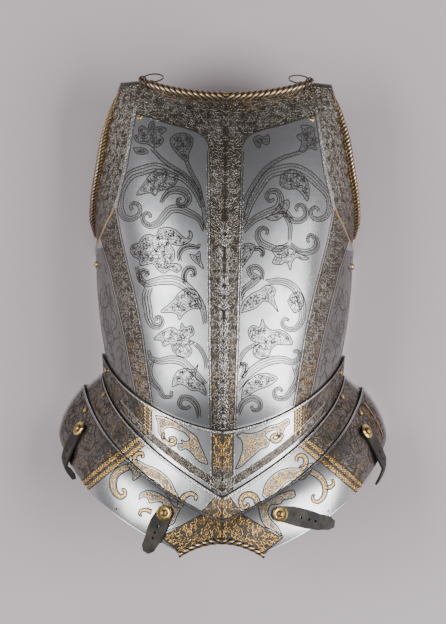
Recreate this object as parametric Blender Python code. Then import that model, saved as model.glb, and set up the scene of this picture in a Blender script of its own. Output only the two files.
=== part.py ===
"""An etched breastplate with arm gussets and a fauld of three lames, lying on its back.

The plates are steel sheets worked out from sections. +X is the wearer's left, +Y points to the neck and +Z
stands out of the chest. Metres. While the plates are made, y is the height above the waist line's side ends,
and the last step moves everything so that the middle of the floor area is at the origin.
"""
import math

import bmesh
import bpy
import numpy as np
from mathutils import Matrix, Vector

for old in list(bpy.data.objects):
    bpy.data.objects.remove(old)

# Driving dimensions of the breastplate
shoulder_height = 0.327         # from the waist line's side ends up to the shoulder corners
neck_height = 0.3055            # up to the top of the neck roll on the middle line
armpit_height = 0.118           # up to where the arm edge leaves the side edge
waist_dip = 0.086               # from the side ends of the waist line down to its point in front
neck_curve = 1.75               # power of the neck line's rise from the middle out to the corners
chest_half_width = 0.170
belly_depth = 0.168             # from the floor up to the ridge where the belly is deepest
ridge_rise = 0.006              # how far the medial ridge stands over the rounded section
ridge_half_width = 0.050
breast_thickness = 0.002
flange_length = 0.013           # the strip below the waist line that lies under the first lame

# Driving dimensions of the gussets
gusset_thickness = 0.0015
gusset_lap = 0.017              # how far a gusset reaches in under the arm edge
gusset_foot_height = 0.083      # the gusset's lower end
gusset_gap = 0.0010             # between a gusset and the breastplate over it
gusset_top_drop = 0.003         # its top below the shoulder corners, at its hidden edge
gusset_top_slope = 0.0015       # and how much lower it is at the arm edge
gusset_foot_clear = 5.5         # degrees between the arm edge and the floor at the armpit
gusset_foot_rise = 3.0          # degrees more than that at the foot

# Driving dimensions of the fauld
lame_thickness = 0.0015
lame_gap = 0.0006               # between two lames that lap
lame_end_gap = 0.0020           # added to that behind the pivots, so that the ends can swing
swing_start = 73.0              # the turn, in degrees, where that begins
lame_lap = 0.0125               # how far a lame reaches on under the next one
lame_end_lap = 0.0005           # what is left of that at the plates' ends
lame_top_clear = 0.0008         # between the waist line and the uppermost lame's edge
skirt_half_width = 0.1885       # half width at the lowest line, at the floor
skirt_depth = 0.160             # from the floor up to the ridge at the lowest line
skirt_drop = 0.2363             # from the waist line's side ends down to the lowest line's middle
arch_half_width = 0.0458
arch_height = 0.014             # the arch's middle above its two points
skirt_crown = 0.0045            # how far the lowest lame bulges between its edges
skirt_lean = 0.35               # how much the bulge leans towards the neck, as a share of its height
corner_start = 80.0             # the turn, in degrees, where the lowest lame's corners begin to round
corner_rise = 0.10              # how much shorter its band is at the corners

# Rolled edges
neck_roll_radius = 0.0045
neck_roll_end_radius = 0.0030
gusset_roll_radius = 0.0036
arch_roll_radius = 0.0034
arch_roll_fade = 0.006          # length over which the arch's roll swells at each end
gusset_roll_start = 0.012       # above the armpit
gusset_roll_swell = 0.030       # length over which it swells from there
gusset_roll_end = 0.020         # below the shoulder corners
gusset_roll_fade = 0.055        # length over which it runs out below that
gusset_roll_taper = 0.7         # power of the running out
plain_edge = 0.52               # radius of a plain rounded edge, as a share of the sheet's thickness

# Rivets, studs and straps
rivet_head_radius = 0.0032
rivet_head_height = 0.0020
side_rivet_head_radius = 0.0042
rivet_shank_radius = 0.0014
rivet_foot_radius = 0.00266
rivet_foot_height = 0.0009
rosette_radius = 0.0092
rosette_thickness = 0.0022
stud_head_radius = 0.0046
stud_head_height = 0.0034
strap_thickness = 0.0025
strap_width = 0.0165
strap_hole_radius = 0.0016
centre_hole_radius = 0.0017     # the hole in the uppermost lame
pin_hole_radius = 0.0010        # the two small holes in the lowest lame
staple_half_width = 0.0032
staple_height = 0.0118
staple_lean = 0.0107            # how far its top leans over the neck roll
staple_wire_radius = 0.0009
ring_half_length = 0.0130
ring_half_width = 0.0048
ring_wire_radius = 0.0008
ring_place = 0.91               # how far along the staple's lean the ring lies
bore_reach = 0.010              # length of the tools that cut the holes

# Clearances
piece_gap = 0.0003
hinge_play = 0.0003             # added under the lames' rivets, so that the lames turn
ring_lift = 0.0010
shank_gap = 0.0004              # round a shank, in the plates that it passes through

# Sections of the breastplate: how high up the plate as a share of its whole height, its half width as a
# share of the chest's, and its depth as a share of the belly's.
TORSO_COLUMNS = ("rise", "width", "depth")
TORSO_SECTIONS = (
    (0.000, 0.818, 0.893),
    (0.087, 0.826, 0.960),
    (0.148, 0.836, 0.990),
    (0.208, 0.850, 1.000),
    (0.305, 0.889, 0.998),
    (0.402, 0.911, 0.983),
    (0.513, 0.928, 0.954),
    (0.610, 0.962, 0.917),
    (0.789, 0.988, 0.821),
    (0.949, 1.000, 0.700),
    (1.000, 1.000, 0.661),
)

# The arm edge: how far up from the armpit to the shoulder, and the edge's share of the half width there.
ARM_COLUMNS = ("up", "breast_edge", "gusset_edge")
ARM_EDGE = (
    (0.00, 1.000, 0.9998),
    (0.05, 0.985, 0.9990),
    (0.10, 0.937, 0.9960),
    (0.18, 0.868, 0.9860),
    (0.25, 0.806, 0.9720),
    (0.36, 0.760, 0.9420),
    (0.44, 0.730, 0.9160),
    (0.58, 0.695, 0.8740),
    (0.77, 0.652, 0.8200),
    (0.88, 0.628, 0.7800),
    (1.00, 0.592, 0.7350),
)

# The lines between the lames, from the waist down: half width and ridge depth as shares of the skirt's,
# the drop of the line's side ends and of its middle as shares of the skirt's drop, how much of the dip is
# straight towards the middle, and the power of the round rest.
LINE_COLUMNS = ("width", "depth", "side_drop", "middle_drop", "point", "power")
LAME_LINES = (
    (0.7480, 0.9375, 0.0000, waist_dip / skirt_drop, 0.20, 1.35),
    (0.7530, 0.9880, 0.1290, 0.6820, 0.60, 1.00),
    (0.8570, 0.9940, 0.2020, 0.7965, 0.45, 1.20),
    (1.0000, 1.0000, 0.4200, 1.0000, 0.35, 1.10),
)

# The rivets at the lames' ends, from the uppermost lame down: the turn from the middle line in degrees, and
# how far down the lame's band.
RIVET_COLUMNS = ("turn", "down")
LAME_RIVETS = (
    (75.9, 0.270),
    (73.7, 0.200),
    (74.3, 0.120),
)

# The other rivets and the holes: the turn in degrees, and how high up the body as a share of the shoulders'
# height, or the band
gusset_rivet_place = (36.7, 0.8502)
side_rivet_place = (81.5, 0.3272)
centre_hole_place = (0.0, 0.717)
pin_hole_place = (39.4, 2.900)

# The staples: the turn in degrees, and the drop below the lowest place of the neck roll's foot beside them
staple_turn = 33.8
staple_drop = 0.0008

# Routes of the straps over the lowest lame and past its edge: the turn, the band, how far the strap stands
# off the lame, and how far it hangs below that, both as shares of the skirt's depth. The first row is the
# end behind the rosette and the second the rosette's place.
STRAP_COLUMNS = ("turn", "band", "lift", "sag")
STRAP_ROUTES = {
    "front_right": (
        (20.5, 2.290, 0.000, 0.000),
        (21.1, 2.420, 0.000, 0.000),
        (23.4, 2.920, 0.001, 0.000),
        (25.6, 3.330, 0.004, 0.000),
    ),
    "front_left": (
        (18.9, 2.360, 0.000, 0.000),
        (21.1, 2.420, 0.000, 0.000),
        (30.6, 2.790, 0.001, 0.000),
        (40.6, 3.200, 0.006, 0.000),
    ),
    "side_right": (
        (69.2, 2.280, 0.000, 0.000),
        (69.6, 2.370, 0.000, 0.000),
        (70.9, 2.700, 0.001, 0.000),
        (71.6, 2.960, 0.012, 0.000),
        (70.6, 3.090, 0.030, 0.070),
        (67.0, 3.160, 0.020, 0.190),
        (64.0, 3.180, 0.000, 0.300),
    ),
    "side_left": (
        (68.2, 2.280, 0.000, 0.000),
        (69.6, 2.370, 0.000, 0.000),
        (72.0, 2.700, 0.001, 0.000),
        (73.3, 2.960, 0.014, 0.000),
        (73.6, 3.140, 0.028, 0.060),
        (70.8, 3.290, 0.018, 0.160),
        (67.0, 3.360, 0.010, 0.270),
    ),
}

# Half of a staple, from its foot to its top: across, along the body and out of the plate, as shares of its
# half width, lean and height. A ring passes through it between the fourth row and the last.
STAPLE_COLUMNS = ("across", "along", "out")
STAPLE_BEND = (
    (-1.00, 0.00, 0.00),
    (-1.00, 0.10, 0.38),
    (-1.00, 0.80, 0.60),
    (-1.00, 0.95, 0.80),
    (-0.72, 1.00, 0.94),
    (0.00, 1.03, 1.00),
)

# The outline of a rosette cut through its middle, as shares of its radius and thickness; the first and last
# rows are at its hole.
ROSETTE_COLUMNS = ("radius", "height")
ROSETTE_OUTLINE = (
    (0.00, 0.70),
    (0.52, 0.70),
    (0.78, 1.00),
    (1.00, 0.45),
    (1.00, 0.00),
    (0.00, 0.00),
)
rosette_seat = 0.70             # height of the stud's seat in it, as a share of its thickness

# A strap's outline: half width as a share of the strap's, along its run
OUTLINE_COLUMNS = ("run", "half_width")
STRAP_OUTLINE = (
    (0.00, 0.60),
    (0.04, 0.86),
    (0.10, 1.00),
    (0.84, 1.00),
    (0.95, 0.84),
    (1.00, 0.45),
)
strap_holes = (0.42, 0.55, 0.66)    # along the run

# Grids: cells across a plate, along it and round a roll
breast_columns = 30
breast_row_counts = (4, 8, 7)   # from the waist to the armpit, round the armpit, and on to the shoulder
armpit_rows = (0.90, 1.60)      # where the rows round the armpit begin and end, as shares of its height
lame_columns = 28
roll_steps = 8
gusset_rows = 16
strap_rows = 11
ring_points = 16
turn_steps = 10
hole_steps = 8

steel_colour = (0.46, 0.47, 0.49, 1.0)
gilt_colour = (0.62, 0.40, 0.13, 1.0)
leather_colour = (0.060, 0.046, 0.034, 1.0)


def column(table, names, name):
    """One named column of a table, as an array."""
    return np.array([row[names.index(name)] for row in table])


def follow(places, values, at):
    """A smooth curve through (place, value) pairs: cubic pieces whose slopes are the table's own."""
    slopes = np.gradient(values, places)
    at = np.clip(at, places[0], places[-1])
    cell = np.clip(np.searchsorted(places, at, side="right") - 1, 0, len(places) - 2)
    width = places[cell + 1] - places[cell]
    t = (at - places[cell]) / width
    start = (2 * t**3 - 3 * t**2 + 1) * values[cell] + (t**3 - 2 * t**2 + t) * width * slopes[cell]
    end = (3 * t**2 - 2 * t**3) * values[cell + 1] + (t**3 - t**2) * width * slopes[cell + 1]
    return start + end


def unit(vectors):
    return vectors / np.linalg.norm(vectors, axis=-1, keepdims=True)


def face_normals(surface, turn, place, step):
    """Normals of a surface of (turn, place), outwards from the chest, from small steps along it. They are
    level at a plate's ends, so that the ends stay flat on the floor."""
    turn, place = np.broadcast_arrays(turn, place)
    round_body = surface(turn + 0.002, place) - surface(turn - 0.002, place)
    along_body = surface(turn, place + step) - surface(turn, place - step)
    normals = np.cross(round_body, along_body)
    outwards = np.stack([np.sin(turn), 0 * turn, np.cos(turn)], axis=-1)
    normals = normals * np.sign((normals * outwards).sum(-1, keepdims=True))
    normals[..., 2] *= np.abs(turn) < math.radians(89.9)
    return unit(normals)


# The surfaces

def torso_section(height):
    """Half width and depth of the breastplate at a height."""
    rise = (height + waist_dip) / (shoulder_height + waist_dip)
    places = column(TORSO_SECTIONS, TORSO_COLUMNS, "rise")
    width = follow(places, column(TORSO_SECTIONS, TORSO_COLUMNS, "width"), rise)
    depth = follow(places, column(TORSO_SECTIONS, TORSO_COLUMNS, "depth"), rise)
    return width * chest_half_width, depth * belly_depth


def keel(x):
    """The medial ridge: 1 on the middle line, falling to 0 in a hollow curve."""
    return np.clip(1 - np.abs(x) / ridge_half_width, 0, None) ** 2


def torso_points(turn, height):
    """Outer face of the breastplate: turn is the angle round the body, from the ridge to the side."""
    width, depth = torso_section(height)
    x = width * np.sin(turn)
    z = (depth - ridge_rise) * np.cos(turn) + ridge_rise * keel(x)
    return np.stack([x, height, z], axis=-1)


def line_points(line, turn):
    """One of the lines between the lames: it dips to the middle, partly straight and partly round."""
    width, depth, side_drop, middle_drop, point, power = LAME_LINES[line]
    sine = np.abs(np.sin(turn))
    cosine = np.clip(np.cos(turn), 0, None)
    dip = point * (1 - sine) + (1 - point) * cosine**power
    x = skirt_half_width * width * np.sin(turn)
    y = -skirt_drop * (side_drop + (middle_drop - side_drop) * dip)
    z = (skirt_depth * depth - ridge_rise) * cosine + ridge_rise * keel(x)
    return np.stack([x, y, z], axis=-1)


def waist_height(turn):
    """The waist line on the breastplate."""
    return line_points(0, turn)[..., 1]


def skirt_points(turn, band):
    """The flange's surface carried on under the lames: band 0 is the waist line, 3 the lowest line."""
    turn, band = np.broadcast_arrays(turn, band)
    lines = [torso_points(turn, waist_height(turn))]
    lines += [line_points(line, turn) for line in (1, 2, 3)]
    cell = np.clip(np.floor(band), 0, 2)
    share = (band - cell)[..., None]
    points = lines[0] + share * (lines[1] - lines[0])
    for line in (1, 2):
        here = lines[line] + share * (lines[line + 1] - lines[line])
        points = np.where((cell == line)[..., None], here, points)
    outwards = np.stack([np.sin(turn), skirt_lean * np.ones_like(turn), np.cos(turn)], axis=-1)
    crown = np.where(band > 2, skirt_crown * 4 * (band - 2) * (3 - band), 0)
    crown = np.where(band > 3, -2.0 * skirt_crown * (band - 3), crown)
    level = np.where(np.abs(turn) > math.radians(89.9), 0.0, 1.0)
    outwards[..., 2] *= level
    return points + crown[..., None] * outwards


def band_width(turn, line):
    """Length of a lame's band along the body, at each turn."""
    return np.linalg.norm(skirt_points(turn, line + 1.0) - skirt_points(turn, float(line)), axis=-1)


def end_share(turn):
    """0 in front of the pivots, rising to 1 at the plate's ends on the floor."""
    return np.clip((np.abs(np.degrees(turn)) - swing_start) / (90 - swing_start), 0, 1)


def lame_lift(turn, lame):
    """How far a lame's outer face stands off the flange's surface: the lames lie on one another."""
    return lame * (lame_thickness + lame_gap + lame_end_gap * end_share(turn))


def torso_normals(turn, height):
    return face_normals(torso_points, turn, height, 0.001)


def lame_surface(lame, turn, band):
    """Outer face of a lame and its normals, at turns and bands."""
    normals = face_normals(skirt_points, turn, band, 0.02)
    return skirt_points(turn, band) + lame_lift(turn, lame)[..., None] * normals, normals


# Meshes

def material(name, colour, metallic, roughness):
    new = bpy.data.materials.new(name)
    new.use_nodes = True
    shader = new.node_tree.nodes["Principled BSDF"]
    shader.inputs["Base Color"].default_value = colour
    shader.inputs["Metallic"].default_value = metallic
    shader.inputs["Roughness"].default_value = roughness
    new.diffuse_color = colour
    return new


steel = material("etched_steel", steel_colour, 1.0, 0.32)
gilt = material("gilt_brass", gilt_colour, 1.0, 0.35)
leather = material("leather", leather_colour, 0.0, 0.7)

cuirass = bpy.data.collections.new("cuirass")
cutters = bpy.data.collections.new("cutters")
bpy.context.scene.collection.children.link(cuirass)
bpy.context.scene.collection.children.link(cutters)


def add_object(name, mesh, finish, smooth=True):
    new = bpy.data.objects.new(name, mesh)
    cuirass.objects.link(new)
    if not mesh.materials:
        mesh.materials.append(finish)
    if smooth:
        mesh.shade_smooth()
        mesh.set_sharp_from_angle(angle=math.radians(40))
    return new


def loft(name, rings, caps):
    """A closed body through a row of closed rings of points, with the faces of caps at both ends."""
    count, size = rings.shape[:2]
    bm = bmesh.new()
    verts = [[bm.verts.new(point) for point in ring] for ring in rings]
    for here, there in zip(verts, verts[1:]):
        for i in range(size):
            j = (i + 1) % size
            bm.faces.new((here[i], here[j], there[j], there[i]))
    for cap in caps:
        bm.faces.new([verts[0][i] for i in reversed(cap)])
        bm.faces.new([verts[-1][i] for i in cap])
    bmesh.ops.triangulate(bm, faces=bm.faces[:])
    bmesh.ops.recalc_face_normals(bm, faces=bm.faces[:])
    mesh = bpy.data.meshes.new(name)
    bm.to_mesh(mesh)
    bm.free()
    return mesh


def roll_arc(edge, along, normals, thickness, radius):
    """The round of a rolled edge, as rows of points: it turns outwards over the edge, from the outer face
    round to the inner one. A radius of half the thickness gives a plain rounded edge."""
    along = unit(along - (along * normals).sum(-1, keepdims=True) * normals)
    start = math.pi + np.arcsin(np.clip((radius - thickness) / radius, -1, 1))
    rows = []
    for step in range(roll_steps + 1):
        angle = start + (-math.pi / 2 - start) * step / roll_steps
        reach = radius * (1 + np.cos(angle))
        rise = radius - thickness + radius * np.sin(angle)
        rows.append(edge + reach[:, None] * along + rise[:, None] * normals)
    return rows


def plate(name, outer, normals, thickness, roll=None):
    """A sheet of metal whose outer face is a grid of points; roll gives the radius of the rolled edge along
    the last row, for each column."""
    inner = outer - thickness * normals
    arc = []
    if roll is not None:
        arc = roll_arc(outer[-1], outer[-1] - outer[-2], normals[-1], thickness, roll)
    rows = list(outer) + arc + list(inner[::-1])
    rings = np.stack(rows, axis=1)
    last, size = len(outer) - 1, len(rows)
    caps = [(i, i + 1, size - 2 - i, size - 1 - i) for i in range(last)]
    if arc:
        caps.append(tuple(range(last, last + len(arc) + 2)))
    return add_object(name, loft(name, rings, caps), steel)


def bore(target, point, normal, radius):
    """A round hole through a plate, square to its face."""
    bm = bmesh.new()
    bmesh.ops.create_cone(bm, cap_ends=True, segments=hole_steps, radius1=radius, radius2=radius,
                          depth=bore_reach)
    mesh = bpy.data.meshes.new("hole")
    bm.to_mesh(mesh)
    bm.free()
    cutter = bpy.data.objects.new("hole", mesh)
    cutters.objects.link(cutter)
    cutter.matrix_world = placed(point, normal)
    cutter.hide_render = True
    cutter.display_type = "WIRE"
    cut = target.modifiers.new("hole", "BOOLEAN")
    cut.operation = "DIFFERENCE"
    cut.solver = "EXACT"
    cut.object = cutter


def placed(point, normal):
    """The matrix that puts a piece at a point with its own Z axis along a direction."""
    turn = Vector(normal).to_track_quat("Z", "Y").to_matrix().to_4x4()
    return Matrix.Translation(Vector(point)) @ turn


def turned(name, profile, closed=False):
    """A turned piece: a profile of (radius, height) from top to bottom, spun round Z."""
    mesh = bpy.data.meshes.new(name)
    count = len(profile)
    edges = [(i, (i + 1) % count) for i in range(count if closed else count - 1)]
    mesh.from_pydata([(radius, 0.0, height) for radius, height in profile], edges, [])
    bm = bmesh.new()
    bm.from_mesh(mesh)
    bmesh.ops.spin(bm, geom=bm.verts[:] + bm.edges[:], axis=(0, 0, 1), cent=(0, 0, 0),
                   angle=2 * math.pi, steps=turn_steps)
    bmesh.ops.remove_doubles(bm, verts=bm.verts[:], dist=0.00001)
    bmesh.ops.triangulate(bm, faces=bm.faces[:])
    bmesh.ops.recalc_face_normals(bm, faces=bm.faces[:])
    bm.to_mesh(mesh)
    bm.free()
    return mesh


def rivet_mesh(name, head_radius, head_height, grip):
    """A domed head on z = 0, a shank through plates as thick as the grip, and a small inner head."""
    dome = [(head_radius * math.sin(a), head_height * math.cos(a)) for a in np.linspace(0, math.pi / 2, 4)]
    shank = [(rivet_shank_radius, 0.0), (rivet_shank_radius, -grip), (rivet_foot_radius, -grip),
             (0.0, -grip - rivet_foot_height)]
    return turned(name, dome + shank)


def add_rivet(name, head_radius, head_height, grip, point, normal):
    """A rivet whose head sits a small gap over the face at a point."""
    rivet = add_object(name, rivet_mesh(name, head_radius, head_height, grip + 2 * piece_gap), gilt)
    rivet.matrix_world = placed(point + piece_gap * normal, normal)
    return rivet


def add_wire(name, points, radius, finish, cyclic=False):
    """A bent wire, as a curve with a round section."""
    curve = bpy.data.curves.new(name, "CURVE")
    curve.dimensions = "3D"
    curve.bevel_depth = radius
    curve.bevel_resolution = 2
    curve.use_fill_caps = True
    spline = curve.splines.new("POLY")
    spline.points.add(len(points) - 1)
    for place, point in zip(spline.points, points):
        place.co = (*point, 1.0)
    spline.use_cyclic_u = cyclic
    curve.materials.append(finish)
    wire = bpy.data.objects.new(name, curve)
    cuirass.objects.link(wire)
    return wire


# The breastplate

def arm_turn(height):
    """The turn at which the breastplate ends, at each height."""
    up = (height - armpit_height) / (shoulder_height - armpit_height)
    places = column(ARM_EDGE, ARM_COLUMNS, "up")
    share = np.clip(follow(places, column(ARM_EDGE, ARM_COLUMNS, "breast_edge"), up), 0, 1)
    return np.where(up > 0, np.arcsin(share), math.pi / 2)


def neck_line(across):
    """Height of the neck roll's foot and the roll's radius; across is 0 in the middle and 1 at the arm edge."""
    roll = neck_roll_end_radius + (neck_roll_radius - neck_roll_end_radius) * (1 - across**4)
    top = neck_height + (shoulder_height - neck_height) * np.abs(across) ** neck_curve
    return top - 2 * roll, roll


def make_breastplate():
    across = np.linspace(-1, 1, breast_columns + 1)[None, :]
    bottom = waist_height(across * math.pi / 2)
    top, roll = neck_line(across)
    armpit_up = armpit_height / (shoulder_height - 2 * neck_roll_end_radius)
    stops = np.concatenate([[0], np.cumsum(breast_row_counts)])
    shares = (0, armpit_rows[0] * armpit_up, armpit_rows[1] * armpit_up, 1)
    up = np.interp(np.arange(stops[-1] + 1), stops, shares)[:, None]
    height = bottom + up * (top - bottom)
    turn = across * arm_turn(height)
    below = across * math.pi / 2 + np.zeros((3, 1))
    band = flange_length / band_width(below, 0) * np.array([[1.0], [0.5], [0.02]])
    flange_normals = face_normals(skirt_points, below, band, 0.02)
    body_normals = torso_normals(turn, height)
    body_normals[0] = unit(body_normals[0] + flange_normals[2])
    outer = np.concatenate([skirt_points(below, band)[:2], torso_points(turn, height)])
    normals = np.concatenate([flange_normals[:2], body_normals])
    return plate("breastplate", outer, normals, breast_thickness, roll[0])


# The gussets

def gusset_edge_turn(height):
    """The turn of a gusset's arm edge; below the armpit it runs down just above the floor."""
    up = (height - armpit_height) / (shoulder_height - armpit_height)
    places = column(ARM_EDGE, ARM_COLUMNS, "up")
    share = follow(places, column(ARM_EDGE, ARM_COLUMNS, "gusset_edge"), np.clip(up, 0, 1))
    floor_clear = gusset_foot_clear + gusset_foot_rise * np.clip(-up * 3, 0, 1)
    return np.minimum(np.arcsin(share), np.radians(90 - floor_clear))


def gusset_face(side, across, height):
    """Outer face of a gusset and its normals, under the breastplate: across runs from its hidden edge to its
    arm edge."""
    width = torso_section(height)[0]
    edge = gusset_edge_turn(height)
    hidden = np.minimum(arm_turn(height), edge) - gusset_lap / width
    turn = hidden + across * (edge - hidden)
    normals = torso_normals(turn, height)
    points = torso_points(turn, height) - (breast_thickness + gusset_gap) * normals
    flip = np.array([side, 1.0, 1.0])
    return points * flip, normals * flip


def make_gusset(name, side):
    across = np.array([0.0, 0.2, 0.4, 0.6, 0.8, 1.0])[:, None]
    top = shoulder_height - gusset_top_drop - gusset_top_slope * across
    up = np.linspace(0, 1, gusset_rows + 1)[None, :]
    height = gusset_foot_height + up * (top - gusset_foot_height)
    points, normals = gusset_face(side, across, height)
    start = np.clip((height[-1] - armpit_height - gusset_roll_start) / gusset_roll_swell, 0, 1)
    end = np.clip((shoulder_height - gusset_roll_end - height[-1]) / gusset_roll_fade, 0, 1)
    plain = gusset_thickness * plain_edge
    roll = plain + (gusset_roll_radius - plain) * start * end**gusset_roll_taper
    return plate(name, points, normals, gusset_thickness, roll)


# The lames

def lame_turns():
    """The turns of a lame's columns, with one at each point of the arch."""
    point = math.asin(arch_half_width / skirt_half_width)
    middle = np.linspace(0, point, 5)
    side = np.linspace(point, math.pi / 2, lame_columns // 2 - 3)
    half = np.concatenate([middle, side[1:]])
    return np.concatenate([-half[:0:-1], half])


def lame_lap_band(turn, line):
    """How far a lame reaches past its lower line, in bands: less and less behind the pivots."""
    lap = lame_lap * (1 - end_share(turn)) + lame_end_lap * end_share(turn)
    return lap / band_width(turn, line)


def make_lame_1():
    turn = lame_turns()[None, :]
    first = lame_top_clear / band_width(turn, 0)
    last = 1 + lame_lap_band(turn, 1)
    share = np.array([0, 0.25, 0.5, 0.75])[:, None]
    bands = np.concatenate([first + share * (1 - first), 1 + 0 * turn, last])
    points, normals = lame_surface(1, turn + 0 * bands, bands)
    return plate("fauld_lame_1", points, normals, lame_thickness)


def make_lame_2():
    turn = lame_turns()[None, :]
    last = 2 + lame_lap_band(turn, 2)
    bands = np.concatenate([1 + 0 * turn, 1.5 + 0 * turn, 2 + 0 * turn, last])
    points, normals = lame_surface(2, turn + 0 * bands, bands)
    return plate("fauld_lame_2", points, normals, lame_thickness)


def arch_band(turn):
    """Band of the lowest lame's edge: 3 at its lowest line, less inside the arch."""
    x = skirt_half_width * np.sin(turn)
    inside = np.clip(1 - (x / arch_half_width) ** 2, 0, 1)
    upper = line_points(2, turn)[..., 1]
    lower = line_points(3, turn)[..., 1]
    points = line_points(3, np.array([math.asin(arch_half_width / skirt_half_width)]))[0, 1]
    edge = np.where(inside > 0, points + inside * arch_height, lower)
    return 2 + (edge - upper) / (lower - upper)


def make_lame_3():
    turn = lame_turns()[None, :]
    edge = arch_band(turn)
    corner = np.clip((np.abs(np.degrees(turn)) - corner_start) / (90 - corner_start), 0, 1) ** 2
    edge = edge - corner_rise * corner
    share = np.linspace(0, 1, 5)[:, None]
    bands = 2 + share * (edge - 2)
    points, normals = lame_surface(3, turn + 0 * bands, bands)
    x = np.abs(points[-1, :, 0])
    swell = np.clip((arch_half_width + arch_roll_fade - x) / arch_roll_fade, 0, 1)
    plain = lame_thickness * plain_edge
    roll = plain + (arch_roll_radius - plain) * swell
    return plate("fauld_lame_3", points, normals, lame_thickness, roll)


def lame_place(lame, turn_degrees, band):
    """A point on a lame's outer face and the normal there."""
    points, normals = lame_surface(lame, np.radians([turn_degrees]), np.array([band]))
    return points[0], normals[0]


def torso_place(turn_degrees, height):
    """A point on the breastplate's outer face and the normal there."""
    turn, place = np.radians([turn_degrees]), np.array([height])
    return torso_points(turn, place)[0], torso_normals(turn, place)[0]


# Straps and what hangs at the shoulders

def strap_points(name, turn, band, lift, sag):
    """Points on a strap's middle line and the lame's normals under them."""
    side = 1 if name.endswith("left") else -1
    points, normals = lame_surface(3, side * np.radians(turn), band)
    points = points + (piece_gap + strap_thickness / 2 + skirt_depth * lift)[:, None] * normals
    points[:, 2] -= skirt_depth * sag
    return points, normals


def strap_route(name, at):
    """The strap's middle line and the normals under it, at shares of its run."""
    columns = [column(STRAP_ROUTES[name], STRAP_COLUMNS, key) for key in STRAP_COLUMNS]
    steps = np.linalg.norm(np.diff(strap_points(name, *columns)[0], axis=0), axis=1)
    places = np.concatenate([[0], np.cumsum(steps)]) / steps.sum()
    return strap_points(name, *(follow(places, values, at) for values in columns))


def make_strap(name):
    run = np.linspace(0, 1, strap_rows + 1)
    points, normals = strap_route(name, run)
    ahead = unit(np.gradient(points, axis=0))
    normals = unit(normals - (normals * ahead).sum(-1, keepdims=True) * ahead)
    across = np.cross(ahead, normals)
    half = follow(column(STRAP_OUTLINE, OUTLINE_COLUMNS, "run"),
                  column(STRAP_OUTLINE, OUTLINE_COLUMNS, "half_width"), run)[:, None] * strap_width / 2
    up = normals * strap_thickness / 2
    rings = np.stack([points - half * across - up, points + half * across - up,
                      points + half * across + up, points - half * across + up], axis=1)
    strap = add_object("strap_" + name, loft("strap_" + name, rings, [(0, 1, 2, 3)]), leather, smooth=False)
    places, directions = strap_route(name, np.array(strap_holes))
    for place, direction in zip(places, directions):
        bore(strap, place, direction, strap_hole_radius)
    return strap


def make_rosette(name, strap):
    """A gilt washer and a stud that hold a strap on the lowest lame."""
    turn, band = (column(STRAP_ROUTES[name], STRAP_COLUMNS, key)[1] for key in ("turn", "band"))
    point, normal = lame_place(3, turn if name.endswith("left") else -turn, band)
    hole = rivet_shank_radius + shank_gap
    bore(strap, point, normal, hole)
    bore(lames[2], point, normal, hole)
    seat = point + (2 * piece_gap + strap_thickness) * normal
    radii = np.maximum(rosette_radius * column(ROSETTE_OUTLINE, ROSETTE_COLUMNS, "radius"), hole)
    heights = rosette_thickness * column(ROSETTE_OUTLINE, ROSETTE_COLUMNS, "height")
    washer = add_object("rosette_" + name, turned("rosette_" + name, list(zip(radii, heights)), closed=True),
                        gilt)
    washer.matrix_world = placed(seat, normal)
    stud_seat = rosette_seat * rosette_thickness
    grip = stud_seat + strap_thickness + lame_thickness + 3 * piece_gap
    stud = add_rivet("rosette_stud_" + name, stud_head_radius, stud_head_height, grip,
                     seat + stud_seat * normal, normal)
    return washer, stud


def shoulder_frame(side):
    """A staple's place with the directions towards the neck, up the body and out of the plate."""
    reach = (staple_half_width + neck_roll_radius) / chest_half_width
    beside = math.radians(staple_turn) + np.array([-reach, reach])
    feet = np.full(2, shoulder_height)
    for _ in range(20):
        feet = neck_line(beside / arm_turn(feet))[0]
    height = feet.min() - staple_drop
    point, normal = torso_place(side * staple_turn, height)
    ahead = torso_place(side * (staple_turn - 0.5), height)[0] - point
    inwards = unit(ahead - (ahead @ normal) * normal)
    upwards = unit(np.cross(inwards, normal) * side)
    return point, inwards, upwards, normal


def make_staple(name, side):
    """A bent wire that stands on the plate below the neck roll's end and leans over the roll."""
    point, inwards, upwards, normal = shoulder_frame(side)
    half = np.stack([column(STAPLE_BEND, STAPLE_COLUMNS, key) for key in STAPLE_COLUMNS], axis=1)
    bend = np.concatenate([half, half[-2::-1] * (-1, 1, 1)])
    points = [point + staple_half_width * x * inwards + staple_lean * y * upwards
              + (2 * piece_gap + staple_height * z) * normal for x, y, z in bend]
    return add_wire(name, points, staple_wire_radius, steel)


def make_shoulder_ring(name, side):
    """An oval wire ring through the staple, lying on the neck roll."""
    point, inwards, upwards, normal = shoulder_frame(side)
    point = point + ring_half_length * inwards + ring_place * staple_lean * upwards
    lift = 2 * neck_roll_radius - breast_thickness + ring_wire_radius + ring_lift
    angles = np.linspace(0, 2 * math.pi, ring_points, endpoint=False)
    points = [point + lift * normal + ring_half_length * math.cos(a) * inwards
              + ring_half_width * math.sin(a) * upwards for a in angles]
    return add_wire(name, points, ring_wire_radius, steel, cyclic=True)


# Putting the cuirass together

breastplate = make_breastplate()
gussets = {"right": make_gusset("gusset_right", -1.0), "left": make_gusset("gusset_left", 1.0)}
lames = [make_lame_1(), make_lame_2(), make_lame_3()]
fixed = [breastplate]
hinged = [[lame] for lame in lames]
hinge_places = []

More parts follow.
